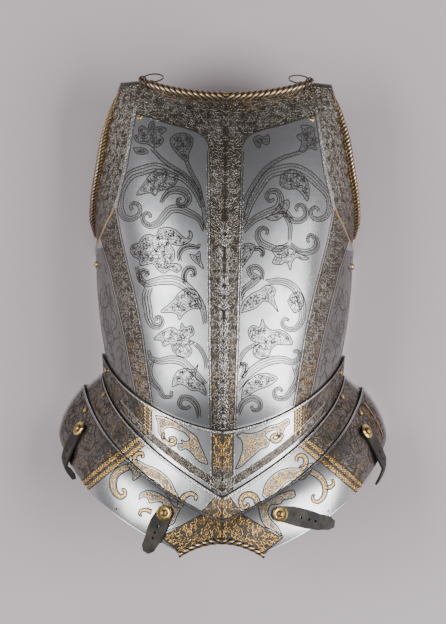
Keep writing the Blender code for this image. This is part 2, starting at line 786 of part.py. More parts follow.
for hand, side in (("right", -1), ("left", 1)):
    gusset = gussets[hand]
    fixed.append(gusset)
    for kind, (turn, up), head in (("gusset", gusset_rivet_place, rivet_head_radius),
                                   ("side", side_rivet_place, side_rivet_head_radius)):
        point, normal = torso_place(side * turn, up * shoulder_height)
        for sheet in (breastplate, gusset):
            bore(sheet, point, normal, rivet_shank_radius + shank_gap)
        grip = breast_thickness + gusset_gap + gusset_thickness
        fixed.append(add_rivet(f"{kind}_rivet_{hand}", head, rivet_head_height * head / rivet_head_radius,
                               grip, point, normal))
    turns, downs = (column(LAME_RIVETS, RIVET_COLUMNS, key) for key in RIVET_COLUMNS)
    for number, (turn, down) in enumerate(zip(turns, downs), start=1):
        point, normal = lame_place(number, side * turn, number - 1 + down)
        under = breastplate if number == 1 else lames[number - 2]
        for sheet in (lames[number - 1], under):
            bore(sheet, point, normal, rivet_shank_radius + shank_gap)
        under_thickness = breast_thickness if number == 1 else lame_thickness
        gap = lame_lift(math.radians(turn), number) / number
        grip = gap + under_thickness + hinge_play
        rivet = add_rivet(f"lame_{number}_rivet_{hand}", rivet_head_radius, rivet_head_height, grip,
                          point, normal)
        hinged[number - 1].append(rivet)
        if side > 0:
            hinge_places.append(point)
    turn, band = pin_hole_place
    bore(lames[2], *lame_place(3, side * turn, band), pin_hole_radius)
    fixed.append(make_staple("shoulder_staple_" + hand, side))
    fixed.append(make_shoulder_ring("shoulder_ring_" + hand, side))

bore(lames[0], *lame_place(1, *centre_hole_place), centre_hole_radius)

for name in STRAP_ROUTES:
    strap = make_strap(name)
    hinged[2].append(strap)
    hinged[2].extend(make_rosette(name, strap))

# Each lame and what it carries hangs from an empty on the line through its two rivets, and each of these
# empties hangs from the one above it.
hinges = []
start = Vector()
for number, (pieces, place) in enumerate(zip(hinged, hinge_places), start=1):
    hinge = bpy.data.objects.new(f"lame_{number}_pivot", None)
    hinge.empty_display_size = 0.03
    cuirass.objects.link(hinge)
    pivot = Vector((0.0, place[1], place[2]))
    hinge.parent = hinges[-1] if hinges else None
    hinge.matrix_local = Matrix.Translation(pivot - start)
    for piece in pieces:
        world = piece.matrix_world.copy()
        piece.parent = hinge
        piece.matrix_local = Matrix.Translation(-pivot) @ world
    start = pivot
    hinges.append(hinge)

# The middle of the floor area goes to the origin
bpy.context.view_layer.update()
graph = bpy.context.evaluated_depsgraph_get()
lengths = []
for piece in cuirass.objects:
    if piece.type != "EMPTY":
        shape = piece.evaluated_get(graph)
        lengths += [(piece.matrix_world @ vertex.co).y for vertex in shape.to_mesh().vertices]
        shape.to_mesh_clear()
shift = Matrix.Translation((0, -(min(lengths) + max(lengths)) / 2, 0))
for piece in fixed + hinges[:1] + list(cutters.objects):
    piece.matrix_world = shift @ piece.matrix_world
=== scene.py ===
# %% [markdown]
# # An etched and gilt breastplate with its fauld
#
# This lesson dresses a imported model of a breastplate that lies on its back. The model gives the place and
# the size of each plate. Here the plates get fine surfaces, roped edges, etched bands with foliage, gilding
# and worn leather. Everything is in metres: +X is the wearer's left, +Y points to the neck, +Z is up.

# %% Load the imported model
import math

import bmesh
import bpy
import numpy as np
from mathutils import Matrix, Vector


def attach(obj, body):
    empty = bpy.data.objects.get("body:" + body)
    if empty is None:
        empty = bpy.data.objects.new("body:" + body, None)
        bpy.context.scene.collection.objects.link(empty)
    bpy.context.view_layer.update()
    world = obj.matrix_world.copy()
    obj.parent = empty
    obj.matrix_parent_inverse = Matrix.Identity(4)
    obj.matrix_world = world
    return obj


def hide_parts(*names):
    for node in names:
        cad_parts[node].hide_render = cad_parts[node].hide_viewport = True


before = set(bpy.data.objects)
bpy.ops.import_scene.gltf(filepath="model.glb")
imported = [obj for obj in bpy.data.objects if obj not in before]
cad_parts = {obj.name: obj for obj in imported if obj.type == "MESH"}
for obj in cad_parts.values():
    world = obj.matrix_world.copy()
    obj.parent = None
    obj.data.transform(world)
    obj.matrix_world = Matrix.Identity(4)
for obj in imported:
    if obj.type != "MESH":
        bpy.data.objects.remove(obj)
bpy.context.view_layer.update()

# %% [markdown]
# ## The camera
#
# The armour is seen from straight above, from 2.4 m over the floor, with the neck at the top. Object and
# camera are turned against each other by half a degree. A long lens keeps the fauld from looking larger
# than the shoulders.

# %% Camera
camera_height = 2.4
frame_height = 0.762            # metres of floor from the top of the picture to its bottom
camera_roll = math.radians(0.53)

lens = bpy.data.cameras.new("camera")
lens.sensor_width = 36.0
lens.lens = lens.sensor_width * camera_height / frame_height
lens.clip_end = 20.0
camera = bpy.data.objects.new("camera", lens)
bpy.context.scene.collection.objects.link(camera)
camera.location = (-0.0011, 0.0004, camera_height)
camera.rotation_euler = (0.0, 0.0, camera_roll)
bpy.context.scene.camera = camera
print("lens mm:", round(lens.lens, 1))

# %% [markdown]
# ## Shader maths
#
# A material is a small sum: noise times a colour, a mask taken from one. Wrapping a node's socket in a
# class lets such a sum be written as Python arithmetic, and each operation adds its Math node.

# %% A class for sockets, and one for finishes
class Amount:
    """A number or colour that a shader works out. Arithmetic on it adds Math nodes."""

    def __init__(self, finish, socket):
        self.finish, self.socket = finish, socket

    def _math(self, operation, first, second):
        return self.finish.node("ShaderNodeMath", {"operation": operation}, {0: first, 1: second})

    def __add__(self, other): return self._math("ADD", self, other)
    def __radd__(self, other): return self._math("ADD", other, self)
    def __sub__(self, other): return self._math("SUBTRACT", self, other)
    def __rsub__(self, other): return self._math("SUBTRACT", other, self)
    def __mul__(self, other): return self._math("MULTIPLY", self, other)

    def clamp(self, low, high):
        """From 0 at low to 1 at high, and no further."""
        return self.finish.node("ShaderNodeMapRange", {"clamp": True},
                                {"Value": self, "From Min": low, "From Max": high})


class Finish:
    """A material whose shader is built from nodes."""

    def __init__(self, name):
        self.material = bpy.data.materials.new(name)
        self.material.use_nodes = True
        self.tree = self.material.node_tree
        self.shader = self.tree.nodes["Principled BSDF"]

    def node(self, kind, settings, sockets, out=0):
        """Adds a node: its settings first, then the values or links of its sockets. Returns one output."""
        new = self.tree.nodes.new(kind)
        stops = settings.pop("stops", None) if settings else None
        for key, value in (settings or {}).items():
            setattr(new, key, value)
        if stops:
            ramp = new.color_ramp
            while len(ramp.elements) < len(stops):
                ramp.elements.new(0.5)
            for element, (place, colour) in zip(ramp.elements, stops):
                element.position, element.color = place, (*colour, 1.0)
        for key, value in sockets.items():
            self.feed(new.inputs[key], value)
        return Amount(self, new.outputs[out])

    def feed(self, socket, value):
        if isinstance(value, Amount):
            self.tree.links.new(value.socket, socket)
        elif socket.type == "RGBA" and len(value) == 3:
            socket.default_value = (*value, 1.0)
        else:
            socket.default_value = value

    def place(self, scale=(1.0, 1.0, 1.0), turn=(0.0, 0.0, 0.0)):
        """The object's own coordinates in metres, stretched and turned."""
        where = self.node("ShaderNodeTexCoord", {}, {}, out="Object")
        return self.node("ShaderNodeMapping", {}, {"Vector": where, "Scale": scale, "Rotation": turn})

    def noise(self, scale, detail=3.0, where=None, rough=0.5, warp=0.0):
        where = where or self.place()
        return self.node("ShaderNodeTexNoise", {}, {"Vector": where, "Scale": scale, "Detail": detail,
                                                    "Roughness": rough, "Distortion": warp})

    def mix(self, first, second, share):
        """Goes from the first colour to the second as share goes from 0 to 1."""
        return self.node("ShaderNodeMix", {"data_type": "RGBA"}, {0: share, 6: first, 7: second}, out=2)

    def relief(self, height, depth, strength=1.0):
        """Normals of a surface raised by height times depth, in metres."""
        return self.node("ShaderNodeBump", {}, {"Height": height, "Distance": depth, "Strength": strength})

    def done(self, **sockets):
        for key, value in sockets.items():
            self.feed(self.shader.inputs[key.replace("_", " ")], value)
        return self.material


print("shader classes ready")

# %% [markdown]
# ## The forms of the plates
#
# A smith beats a breastplate from one sheet over a stake: every section across it is close to half an
# ellipse, and its width and depth change smoothly from the waist to the shoulders. The same few sections
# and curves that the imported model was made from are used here, on a far finer grid, so that the polished
# steel shows soft reflections and no facets. Heights count from the waist line's side ends.

# %% Sizes
neck_shift = -0.05063           # from heights on the body to the frame's Y
shoulder_height, neck_height, armpit_height, waist_dip = 0.327, 0.3055, 0.118, 0.086
chest_half_width, belly_depth, ridge_rise, ridge_half_width = 0.170, 0.168, 0.006, 0.050
breast_thickness, flange_length = 0.002, 0.013
gusset_thickness, gusset_lap, gusset_foot_height, gusset_gap = 0.0015, 0.017, 0.083, 0.0010
lame_thickness, lame_gap, lame_end_gap, swing_start, lame_lap = 0.0015, 0.0006, 0.0020, 73.0, 0.0125
skirt_half_width, skirt_depth, skirt_drop, skirt_crown = 0.1885, 0.160, 0.2363, 0.0045
arch_half_width, arch_height = 0.0458, 0.014
neck_roll_radius, neck_roll_end_radius, gusset_roll_radius, arch_roll_radius = 0.0045, 0.0030, 0.0036, 0.0034

# How far up the breastplate, its half width and its depth, as shares
TORSO = np.array([
    (0.000, 0.818, 0.893), (0.087, 0.826, 0.960), (0.148, 0.836, 0.990), (0.208, 0.850, 1.000),
    (0.305, 0.889, 0.998), (0.402, 0.911, 0.983), (0.513, 0.928, 0.954), (0.610, 0.962, 0.917),
    (0.789, 0.988, 0.821), (0.949, 1.000, 0.700), (1.000, 1.000, 0.661)]).T
# How far up the arm edge, the breastplate's edge and the gusset's, as shares of the half width
ARM = np.array([
    (0.00, 1.000, 0.9998), (0.05, 0.985, 0.9990), (0.10, 0.937, 0.9960), (0.18, 0.868, 0.9860),
    (0.25, 0.806, 0.9720), (0.36, 0.760, 0.9420), (0.44, 0.730, 0.9160), (0.58, 0.695, 0.8740),
    (0.77, 0.652, 0.8200), (0.88, 0.628, 0.7800), (1.00, 0.592, 0.7350)]).T
# The lines between the lames: width, depth, drop at the sides, drop in the middle, point, power
LINES = (
    (0.7480, 0.9375, 0.0000, waist_dip / skirt_drop, 0.20, 1.35),
    (0.7530, 0.9880, 0.1290, 0.6820, 0.60, 1.00),
    (0.8570, 0.9940, 0.2020, 0.7965, 0.45, 1.20),
    (1.0000, 1.0000, 0.4200, 1.0000, 0.35, 1.10))


# %% The surfaces
def follow(places, values, at):
    """A smooth curve through a table: cubic pieces whose slopes are those of the table itself."""
    slopes = np.gradient(values, places)
    at = np.clip(at, places[0], places[-1])
    cell = np.clip(np.searchsorted(places, at, side="right") - 1, 0, len(places) - 2)
    width = places[cell + 1] - places[cell]
    t = (at - places[cell]) / width
    start = (2 * t**3 - 3 * t**2 + 1) * values[cell] + (t**3 - 2 * t**2 + t) * width * slopes[cell]
    end = (3 * t**2 - 2 * t**3) * values[cell + 1] + (t**3 - t**2) * width * slopes[cell + 1]
    return start + end


def unit(vectors):
    return vectors / np.maximum(np.linalg.norm(vectors, axis=-1, keepdims=True), 1e-12)


def torso_section(height):
    """Half width and depth of the breastplate at a height."""
    rise = (height + waist_dip) / (shoulder_height + waist_dip)
    return follow(TORSO[0], TORSO[1], rise) * chest_half_width, follow(TORSO[0], TORSO[2], rise) * belly_depth


def keel(x):
    """The medial ridge: the square of how near x is to the middle, 1 on it and 0 past the half width."""
    return np.clip(1 - np.abs(x) / ridge_half_width, 0, None) ** 2


def torso_points(turn, height):
    """Across: half width times the sine of the turn. Out: depth times its cosine, plus the ridge."""
    width, depth = torso_section(height)
    x = width * np.sin(turn)
    z = (depth - ridge_rise) * np.cos(turn) + ridge_rise * keel(x)
    return np.stack([x, height + neck_shift, z], axis=-1)


def line_points(line, turn):
    """A line between lames. It drops to the middle by a mix of 1 - sine and a power of the cosine."""
    width, depth, side_drop, middle_drop, point, power = LINES[line]
    cosine = np.clip(np.cos(turn), 0, None)
    dip = point * (1 - np.abs(np.sin(turn))) + (1 - point) * cosine**power
    x = skirt_half_width * width * np.sin(turn)
    y = -skirt_drop * (side_drop + (middle_drop - side_drop) * dip) + neck_shift
    z = (skirt_depth * depth - ridge_rise) * cosine + ridge_rise * keel(x)
    return np.stack([x, y, z], axis=-1)


def waist_height(turn):
    return line_points(0, turn)[..., 1] - neck_shift


def skirt_points(turn, band):
    """Straight from line to line: band 0 is the waist line and 3 the lowest one. The last band bulges by
    4 b (1 - b) times the crown, where b goes from 0 to 1 over it."""
    turn, band = np.broadcast_arrays(turn, band)
    lines = [torso_points(turn, waist_height(turn))] + [line_points(line, turn) for line in (1, 2, 3)]
    cell = np.clip(np.floor(band), 0, 2)
    share = (band - cell)[..., None]
    points = sum(np.where((cell == i)[..., None], lines[i] + share * (lines[i + 1] - lines[i]), 0)
                 for i in range(3))
    outwards = np.stack([np.sin(turn), 0.35 * np.ones_like(turn), np.cos(turn)], axis=-1)
    crown = np.where(band > 2, skirt_crown * 4 * (band - 2) * (3 - band), 0)
    crown = np.where(band > 3, -2.0 * skirt_crown * (band - 3), crown)
    outwards[..., 2] *= np.abs(turn) <= math.radians(89.9)
    return points + crown[..., None] * outwards


def face_normals(surface, turn, place, step):
    """The cross product of two small steps along a surface, outwards; level where a plate meets the floor."""
    turn, place = np.broadcast_arrays(turn, place)
    normals = np.cross(surface(turn + 0.002, place) - surface(turn - 0.002, place),
                       surface(turn, place + step) - surface(turn, place - step))
    outwards = np.stack([np.sin(turn), 0 * turn, np.cos(turn)], axis=-1)
    normals = normals * np.sign((normals * outwards).sum(-1, keepdims=True))
    normals[..., 2] *= np.abs(turn) < math.radians(89.9)
    return unit(normals)


def torso_surface(turn, height):
    """Outer face of the breastplate and its normals."""
    return torso_points(turn, height), face_normals(torso_points, turn, height, 0.001)


def end_share(turn):
    return np.clip((np.abs(np.degrees(turn)) - swing_start) / (90 - swing_start), 0, 1)


def lame_surface(lame, turn, band):
    """Outer face of a lame and its normals: the lames lie on one another, a little apart at their ends."""
    normals = face_normals(skirt_points, turn, band, 0.02)
    lift = lame * (lame_thickness + lame_gap + lame_end_gap * end_share(turn))
    return skirt_points(turn, band) + lift[..., None] * normals, normals


def band_width(turn, line):
    """Length of a lame's band along the body at each turn."""
    return np.linalg.norm(skirt_points(turn, line + 1.0) - skirt_points(turn, float(line)), axis=-1)


def arm_turn(height):
    """The turn at which the breastplate ends, at each height."""
    up = (height - armpit_height) / (shoulder_height - armpit_height)
    return np.where(up > 0, np.arcsin(np.clip(follow(ARM[0], ARM[1], up), 0, 1)), math.pi / 2)


def gusset_edge_turn(height):
    """The turn of a gusset's arm edge; below the armpit it runs down just above the floor."""
    up = (height - armpit_height) / (shoulder_height - armpit_height)
    clear = math.radians(5.5) + math.radians(3.0) * np.clip(-up * 3, 0, 1)
    return np.minimum(np.arcsin(follow(ARM[0], ARM[2], np.clip(up, 0, 1))), math.pi / 2 - clear)


def neck_edge(across):
    """Height of the neck's edge and radius of its roll; across goes from -1 to 1 between the arm edges."""
    roll = neck_roll_end_radius + (neck_roll_radius - neck_roll_end_radius) * (1 - across**4)
    return neck_height + (shoulder_height - neck_height) * np.abs(across) ** 1.75, roll


def arch_band(turn):
    """Band of the lowest lame's edge: 3 at its lowest line, less inside the arch."""
    x = skirt_half_width * np.sin(turn)
    inside = np.clip(1 - (x / arch_half_width) ** 2, 0, 1)
    upper, lower = line_points(2, turn)[..., 1], line_points(3, turn)[..., 1]
    points = line_points(3, np.array([math.asin(arch_half_width / skirt_half_width)]))[0, 1]
    return 2 + (np.where(inside > 0, points + inside * arch_height, lower) - upper) / (lower - upper)


print("waist point at y mm:", round(float(line_points(0, np.zeros(1))[0, 1]) * 1000, 1))

# %% [markdown]
# ## Finishes
#
# The plates are polished steel, browned in the hollows by age. The etched ground was eaten down by acid and
# left dark, and parts of it were gilded with an amalgam of gold, which has rubbed off on what stands proud.
# A few finishes made from noise at different scales give all of that.

# %% Steel
def steel_finish(name, light, dark, roughness, ripple):
    """Polished plate: cloudy brightness, brown specks, fine scratches and a soft hammered ripple."""
    f = Finish(name)
    cloud = f.noise(13.0, 5.0, rough=0.6).clamp(0.38, 0.66)
    speck = f.noise(420.0, 4.0, rough=0.65).clamp(0.62, 0.78)
    scratch = f.noise(60.0, 5.0, where=f.place((9.0, 1.0, 1.0), (0.0, 0.0, 0.9)), rough=0.7)
    crossing = f.noise(60.0, 5.0, where=f.place((1.0, 8.0, 1.0), (0.0, 0.0, 0.3)), rough=0.7)
    colour = f.mix(f.mix(light, dark, cloud * 0.75), (0.13, 0.105, 0.085), speck * 0.65)
    height = f.noise(22.0, 2.0) * ripple + f.noise(700.0, 2.0) * 0.010 + scratch * 0.012
    return f.done(Base_Color=colour, Metallic=1.0,
                  Roughness=roughness + cloud * 0.08 + (scratch + crossing) * 0.05 + speck * 0.18,
                  Normal=f.relief(height, 0.002))


bright_steel = steel_finish("bright_steel", (0.64, 0.65, 0.665), (0.36, 0.365, 0.375), 0.20, 0.24)
inner_steel = steel_finish("inner_steel", (0.11, 0.10, 0.09), (0.055, 0.048, 0.042), 0.46, 0.30)


# %% Etched ground, raised foliage, gold and the etcher's line
def worked_finish(name, light, dark, rubbed, grain, roughness, metallic=1.0):
    """A worked surface: small grains of the light and dark colours, rubbed bright here and there."""
    f = Finish(name)
    grains = f.noise(grain, 2.0, rough=0.6).clamp(0.30, 0.70)
    patches = f.noise(30.0, 3.0, rough=0.5).clamp(0.48, 0.80)
    colour = f.mix(f.mix(dark, light, grains), rubbed, patches * 0.55)
    return f.done(Base_Color=colour, Metallic=metallic, Roughness=roughness + patches * 0.06 - grains * 0.06,
                  Normal=f.relief(grains, 0.0004, 0.6))


etched_ground = worked_finish("etched_ground", (0.135, 0.112, 0.090), (0.062, 0.051, 0.041),
                              (0.21, 0.18, 0.15), 620.0, 0.42, 0.9)
foliage_steel = worked_finish("foliage_steel", (0.37, 0.34, 0.30), (0.27, 0.24, 0.21),
                              (0.50, 0.48, 0.45), 900.0, 0.28)
gold = worked_finish("gold", (0.86, 0.55, 0.17), (0.55, 0.30, 0.085), (0.62, 0.50, 0.32), 500.0, 0.28)
dim_gold = worked_finish("dim_gold", (0.50, 0.32, 0.12), (0.22, 0.14, 0.065),
                         (0.26, 0.215, 0.17), 500.0, 0.36)
# Etched lines; the same dark finish is also painted shadow in the gaps where one plate meets another.
etched_line = worked_finish("etched_line", (0.040, 0.033, 0.028), (0.018, 0.015, 0.013),
                            (0.065, 0.055, 0.048), 800.0, 0.55, 0.2)
print("finishes:", len(bpy.data.materials))


# %% [markdown]
# ## The plates
#
# Each plate is a grid of points on its outer face, carried on round its rolled edge and back along the
# inner face, so one closed skin makes the sheet and its roll. The first finish is for the outside, and the
# second for the inside and the cut edges.

# %% Closed sheets from grids
def add_mesh(name, points, faces, body, finish, smooth=True):
    """Points as one array, faces as a list of index arrays: a piece that rides on a body."""
    mesh = bpy.data.meshes.new(name)
    mesh.from_pydata(points.reshape(-1, 3), [], faces)
    mesh.materials.append(finish)
    if smooth:
        mesh.polygons.foreach_set("use_smooth", np.ones(len(mesh.polygons), bool))
    mesh.update()
    piece = bpy.data.objects.new(name, mesh)
    bpy.context.scene.collection.objects.link(piece)
    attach(piece, body)
    return piece


def grid_faces(rows, columns, closed=False):
    """Index quads of a grid of points stored row by row; closed joins the last row to the first."""
    i, j = np.meshgrid(np.arange(rows if closed else rows - 1), np.arange(columns - 1), indexing="ij")
    here, there = i * columns + j, (i + 1) % rows * columns + j
    return np.stack([here, here + 1, there + 1, there], axis=-1).reshape(-1, 4)


def turn_outwards(piece):
    """Makes the faces of a closed skin point outwards."""
    skin = bmesh.new()
    skin.from_mesh(piece.data)
    bmesh.ops.recalc_face_normals(skin, faces=skin.faces[:])
    skin.to_mesh(piece.data)
    skin.free()


def roll_arc(edge, along, normals, thickness, radius, steps=14):
    """A circle of the given radius that starts on the outer face, turns over the edge and ends on the inner
    face: reach is radius (1 + cos), rise is radius (1 + sin) - thickness."""
    along = unit(along - (along * normals).sum(-1, keepdims=True) * normals)
    start = math.pi + np.arcsin(np.clip((radius - thickness) / radius, -1, 1))
    angle = start + (-math.pi / 2 - start) * np.linspace(0, 1, steps + 1)[:, None]
    reach, rise = radius * (1 + np.cos(angle)), radius - thickness + radius * np.sin(angle)
    return edge + reach[..., None] * along + rise[..., None] * normals


def add_plate(name, outer, normals, thickness, roll, body):
    """A closed sheet: outer face, rolled edge along the last row, inner face, and caps at both ends."""
    arc = roll_arc(outer[-1], outer[-1] - outer[-2], normals[-1], thickness, roll)
    inner = (outer - thickness * normals)[::-1]
    skin = np.concatenate([outer, arc, inner])
    rows, columns = skin.shape[:2]
    faces = grid_faces(rows, columns, closed=True)
    caps = []
    for column in (0, columns - 1):
        ring = np.arange(rows) * columns + column
        count = len(outer)
        caps.append(np.stack([ring[:count - 1], ring[1:count], ring[rows - count:rows - 1][::-1],
                              ring[rows - count + 1:][::-1]], axis=-1))
    mesh_faces = faces.tolist() + np.concatenate(caps).tolist()
    for column in (0, columns - 1):
        mesh_faces.append((np.arange(len(outer) - 1, len(outer) + len(arc) + 1) * columns + column).tolist())
    piece = add_mesh(name, skin, mesh_faces, body, bright_steel)
    piece.data.materials.append(inner_steel)
    inside = np.zeros(len(piece.data.polygons), np.int32)
    first_inner = (len(outer) + len(arc) - 1) * (columns - 1)
    inside[first_inner:] = 1
    piece.data.polygons.foreach_set("material_index", inside)
    turn_outwards(piece)
    piece.data.set_sharp_from_angle(angle=math.radians(50))
    print(name, len(piece.data.polygons), "faces")
    return piece


# %% The breastplate
across = np.linspace(-1, 1, 181)[None, :]
bottom = waist_height(across * math.pi / 2)
edge, roll = neck_edge(across[0])
up = np.linspace(0, 1, 150)[:, None]
armpit_up = armpit_height / shoulder_height
up = up + 0.35 * armpit_up * np.sin(2 * math.pi * np.clip(up / (2 * armpit_up), 0, 1)) / 2
height = bottom + up * (edge - 2 * roll - bottom)
turn = across * arm_turn(height)
below = across * math.pi / 2 + np.zeros((8, 1))
flange = flange_length / band_width(below, 0) * np.linspace(1, 0.06, 8)[:, None]
points, normals = torso_surface(turn, height)
flange_points, flange_normals = skirt_points(below, flange), face_normals(skirt_points, below, flange, 0.02)
breast = add_plate("polished_breastplate", np.concatenate([flange_points, points]),
                   np.concatenate([flange_normals, normals]), breast_thickness, roll, "breastplate")
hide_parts("breastplate")


# %% The gussets
def gusset_surface(side, share, height):
    """Outer face of a gusset under the breastplate's edge: share 0 is its hidden edge and 1 its arm edge."""
    width = torso_section(height)[0]
    edge = gusset_edge_turn(height)
    hidden = np.minimum(arm_turn(height), edge) - gusset_lap / width
    points, normals = torso_surface(hidden + share * (edge - hidden), height)
    flip = np.array([side, 1.0, 1.0])
    return (points - (breast_thickness + gusset_gap) * normals) * flip, normals * flip


def gusset_height(share, up):
    """Height on a gusset, where up goes from 0 at its foot to 1 at its top."""
    top = shoulder_height - 0.003 - 0.0015 * share
    return gusset_foot_height + up * (top - gusset_foot_height)


def gusset_roll(height):
    """Radius of the gusset's roll: it swells above the armpit and runs out under the shoulder."""
    start = np.clip((height - armpit_height - 0.012) / 0.030, 0, 1)
    end = np.clip((shoulder_height - 0.020 - height) / 0.055, 0, 1)
    plain = gusset_thickness * 0.52
    return plain + (gusset_roll_radius - plain) * start * end**0.7


share, up = np.linspace(0, 1, 24)[:, None], np.linspace(0, 1, 121)[None, :]
for hand, side in (("right", -1.0), ("left", 1.0)):
    height = gusset_height(share, up)
    points, normals = gusset_surface(side, share, height)
    gusset = add_plate("polished_gusset_" + hand, points, normals, gusset_thickness, gusset_roll(height[-1]),
                       "breastplate")
    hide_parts("gusset_" + hand)


# %% The lames
def lap_band(turn, line):
    """How far a lame reaches on under the next one, in bands: less and less behind the pivots."""
    behind = end_share(turn)
    return (lame_lap * (1 - behind) + 0.0005 * behind) / band_width(turn, line)


def add_lame(number, bands, roll):
    points, normals = lame_surface(number, turns + 0 * bands, bands)
    lame = add_plate(f"polished_lame_{number}", points, normals, lame_thickness, roll, f"lame_{number}")
    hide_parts(f"fauld_lame_{number}")


arch_turn = math.asin(arch_half_width / skirt_half_width)
half = np.concatenate([np.linspace(0, arch_turn, 31), np.linspace(arch_turn, math.pi / 2, 81)[1:]])
turns = np.concatenate([-half[:0:-1], half])[None, :]
plain_roll = np.full(turns.shape[1], lame_thickness * 0.52)
first = 0.0008 / band_width(turns, 0)
share = np.linspace(0, 1, 40)[:, None]
add_lame(1, np.concatenate([first + share * (1 - first), 1 + lap_band(turns, 1) * share[4::5]]), plain_roll)
add_lame(2, np.concatenate([1 + share + 0 * turns, 2 + lap_band(turns, 2) * share[4::5]]), plain_roll)
corner = np.clip((np.abs(np.degrees(turns)) - 80) / 10, 0, 1) ** 2
bands = 2 + share * (arch_band(turns) - 0.10 * corner - 2)
swell = np.clip((arch_half_width + 0.006 - np.abs(skirt_half_width * np.sin(turns[0]))) / 0.006, 0, 1)
add_lame(3, bands, plain_roll + (arch_roll_radius - plain_roll) * swell)

# %% [markdown]
# ## Roped edges
#
# The rolled edges are filed like twisted rope. A strand winds round the roll once in so many pitches, so on
# a tube whose columns follow the strands each column keeps one finish: gold, then painted shade in the groove,
# then polished steel. The section's radius is r (1 + 0.14 |cos(m a / 2)|), with m strands and the angle a.

# %% Ropes over the rolls
def rope_finish(name, colour, roughness):
    f = Finish(name)
    wear = f.noise(300.0, 3.0, rough=0.6).clamp(0.4, 0.75)
    return f.done(Base_Color=f.mix(colour, (0.10, 0.08, 0.06), wear * 0.5), Metallic=0.95,
                  Roughness=roughness + wear * 0.15, Normal=f.relief(f.noise(500.0, 2.0), 0.0002, 0.5))


rope_gold = rope_finish("rope_gold", (0.50, 0.30, 0.10), 0.28)
# Painted shade: near-black, for the grooves between the strands and for the insides of small holes.
rope_dark = rope_finish("rope_dark", (0.030, 0.024, 0.019), 0.50)
rope_steel = rope_finish("rope_steel", (0.50, 0.48, 0.45), 0.26)


def add_rope(name, edge, along, normals, thickness, radius, pitch, strands, hand, body, mirrored=False):
    """A roped tube round a roll: edge, along, normals and radius are those of the roll's own columns."""
    along = unit(along - (along * normals).sum(-1, keepdims=True) * normals)
    centre = edge + radius[:, None] * along + (radius - thickness)[:, None] * normals
    run = np.concatenate([[0], np.cumsum(np.linalg.norm(np.diff(centre, axis=0), axis=1))])
    fine = np.linspace(0, run[-1], int(run[-1] / 0.0007))
    centre, along, normals = (np.stack([np.interp(fine, run, rows[:, i]) for i in range(3)], axis=1)
                              for rows in (centre, along, normals))
    radius = np.interp(fine, run, radius)[:, None]
    distance = np.abs(fine - run[-1] / 2) if mirrored else fine
    cells = strands * 6
    phase = np.arange(cells) / cells * 2 * math.pi
    angle = phase + 2 * math.pi * hand * distance[:, None] / (strands * pitch)
    swell = radius * (1.01 + 0.14 * np.abs(np.cos(strands * phase / 2)))
    points = centre[:, None] + swell[..., None] * (np.cos(angle)[..., None] * along[:, None]
                                                   + np.sin(angle)[..., None] * normals[:, None])
    rows, columns = points.shape[:2]
    i, j = np.meshgrid(np.arange(rows - 1), np.arange(columns), indexing="ij")
    here, right = i * columns + j, i * columns + (j + 1) % columns
    faces = np.stack([here, here + columns, right + columns, right], axis=-1).reshape(-1, 4).tolist()
    faces += [np.arange(columns).tolist(), (np.arange(columns)[::-1] + (rows - 1) * columns).tolist()]
    rope = add_mesh(name, points, faces, body, rope_gold)
    rope.data.materials.append(rope_dark)
    rope.data.materials.append(rope_steel)
    # The columns in the groove between two strands get the painted shade, and those on either side get gold and
    # steel; the end caps get the painted shade too.
    strand = (j.reshape(-1) + 0.5) * strands / cells % 1.0
    marks = np.where(np.abs(strand - 0.5) < 0.22, 1, np.where(strand < 0.5, 0, 2))
    rope.data.polygons.foreach_set("material_index", np.concatenate([marks, [1, 1]]).astype(np.int32))
    turn_outwards(rope)
    print(name, len(rope.data.polygons), "faces")


def neck_rows(rows=2):
    """The last rows of the breastplate's own grid, where the neck's roll begins."""
    across = np.linspace(-1, 1, 181)
    top, roll = neck_edge(across)
    height = np.stack([top - 2 * roll - 0.002 * (rows - 1 - i) for i in range(rows)])
    points, normals = torso_surface(across * arm_turn(height), height)
    return points, normals, roll


points, normals, roll = neck_rows()
add_rope("neck_rope", points[-1], points[-1] - points[-2], normals[-1], breast_thickness, roll, 0.0072, 4, -1,
         "breastplate", mirrored=True)
for hand, side in (("right", -1.0), ("left", 1.0)):
    height = gusset_height(np.array([[0.97], [1.0]]), np.linspace(0.12, 0.97, 160)[None, :])
    points, normals = gusset_surface(side, np.array([[0.97], [1.0]]), height)
    radius = gusset_roll(height[-1])
    shown = radius > 0.0011
    add_rope("gusset_rope_" + hand, points[-1][shown], (points[-1] - points[-2])[shown], normals[-1][shown],
             gusset_thickness, radius[shown], 0.0046, 4, -side, "breastplate")
arch = np.linspace(-arch_turn, arch_turn, 81)
bands = np.stack([arch_band(arch) - 0.02, arch_band(arch)])
points, normals = lame_surface(3, arch + 0 * bands, bands)
add_rope("arch_rope", points[-1], points[-1] - points[-2], normals[-1], lame_thickness,
         np.full(81, arch_roll_radius), 0.0085, 4, 1, "lame_3", mirrored=True)

# %% [markdown]
# ## Etching
#
# The etcher covered the plate with wax, drew through it and let acid eat the bare steel, so foliage stands up
# from a dark dotted ground. Here every line, leaf and patch of ground is a thin strip laid on the plate: a
# path in a flat drawing goes through a place function to points P and normals N on the steel, and the strip
# runs at P + w S + l N, with S = T x N square to the path's direction T, half width w and a lift l of a few
# hundredths of a millimetre. A curl is a path whose curvature grows steadily, b(t) = b0 + (b1 - b0) t.

# %% From a drawing to the plates
def on_torso(x, height):
    """A drawing seen from the front of the chest."""
    return torso_surface(np.arcsin(np.clip(x / torso_section(height)[0], -0.9995, 0.9995)), height)


def round_torso(x, height):
    """A drawing that lies round the body, with x measured as a share of a quarter turn."""
    return torso_surface(x * math.pi / 2, height)


TABLE_STEP, TABLE_CORNER, TABLE_CELLS = 0.0015, (-0.2025, -0.252), (271, 176)   # cells across and up


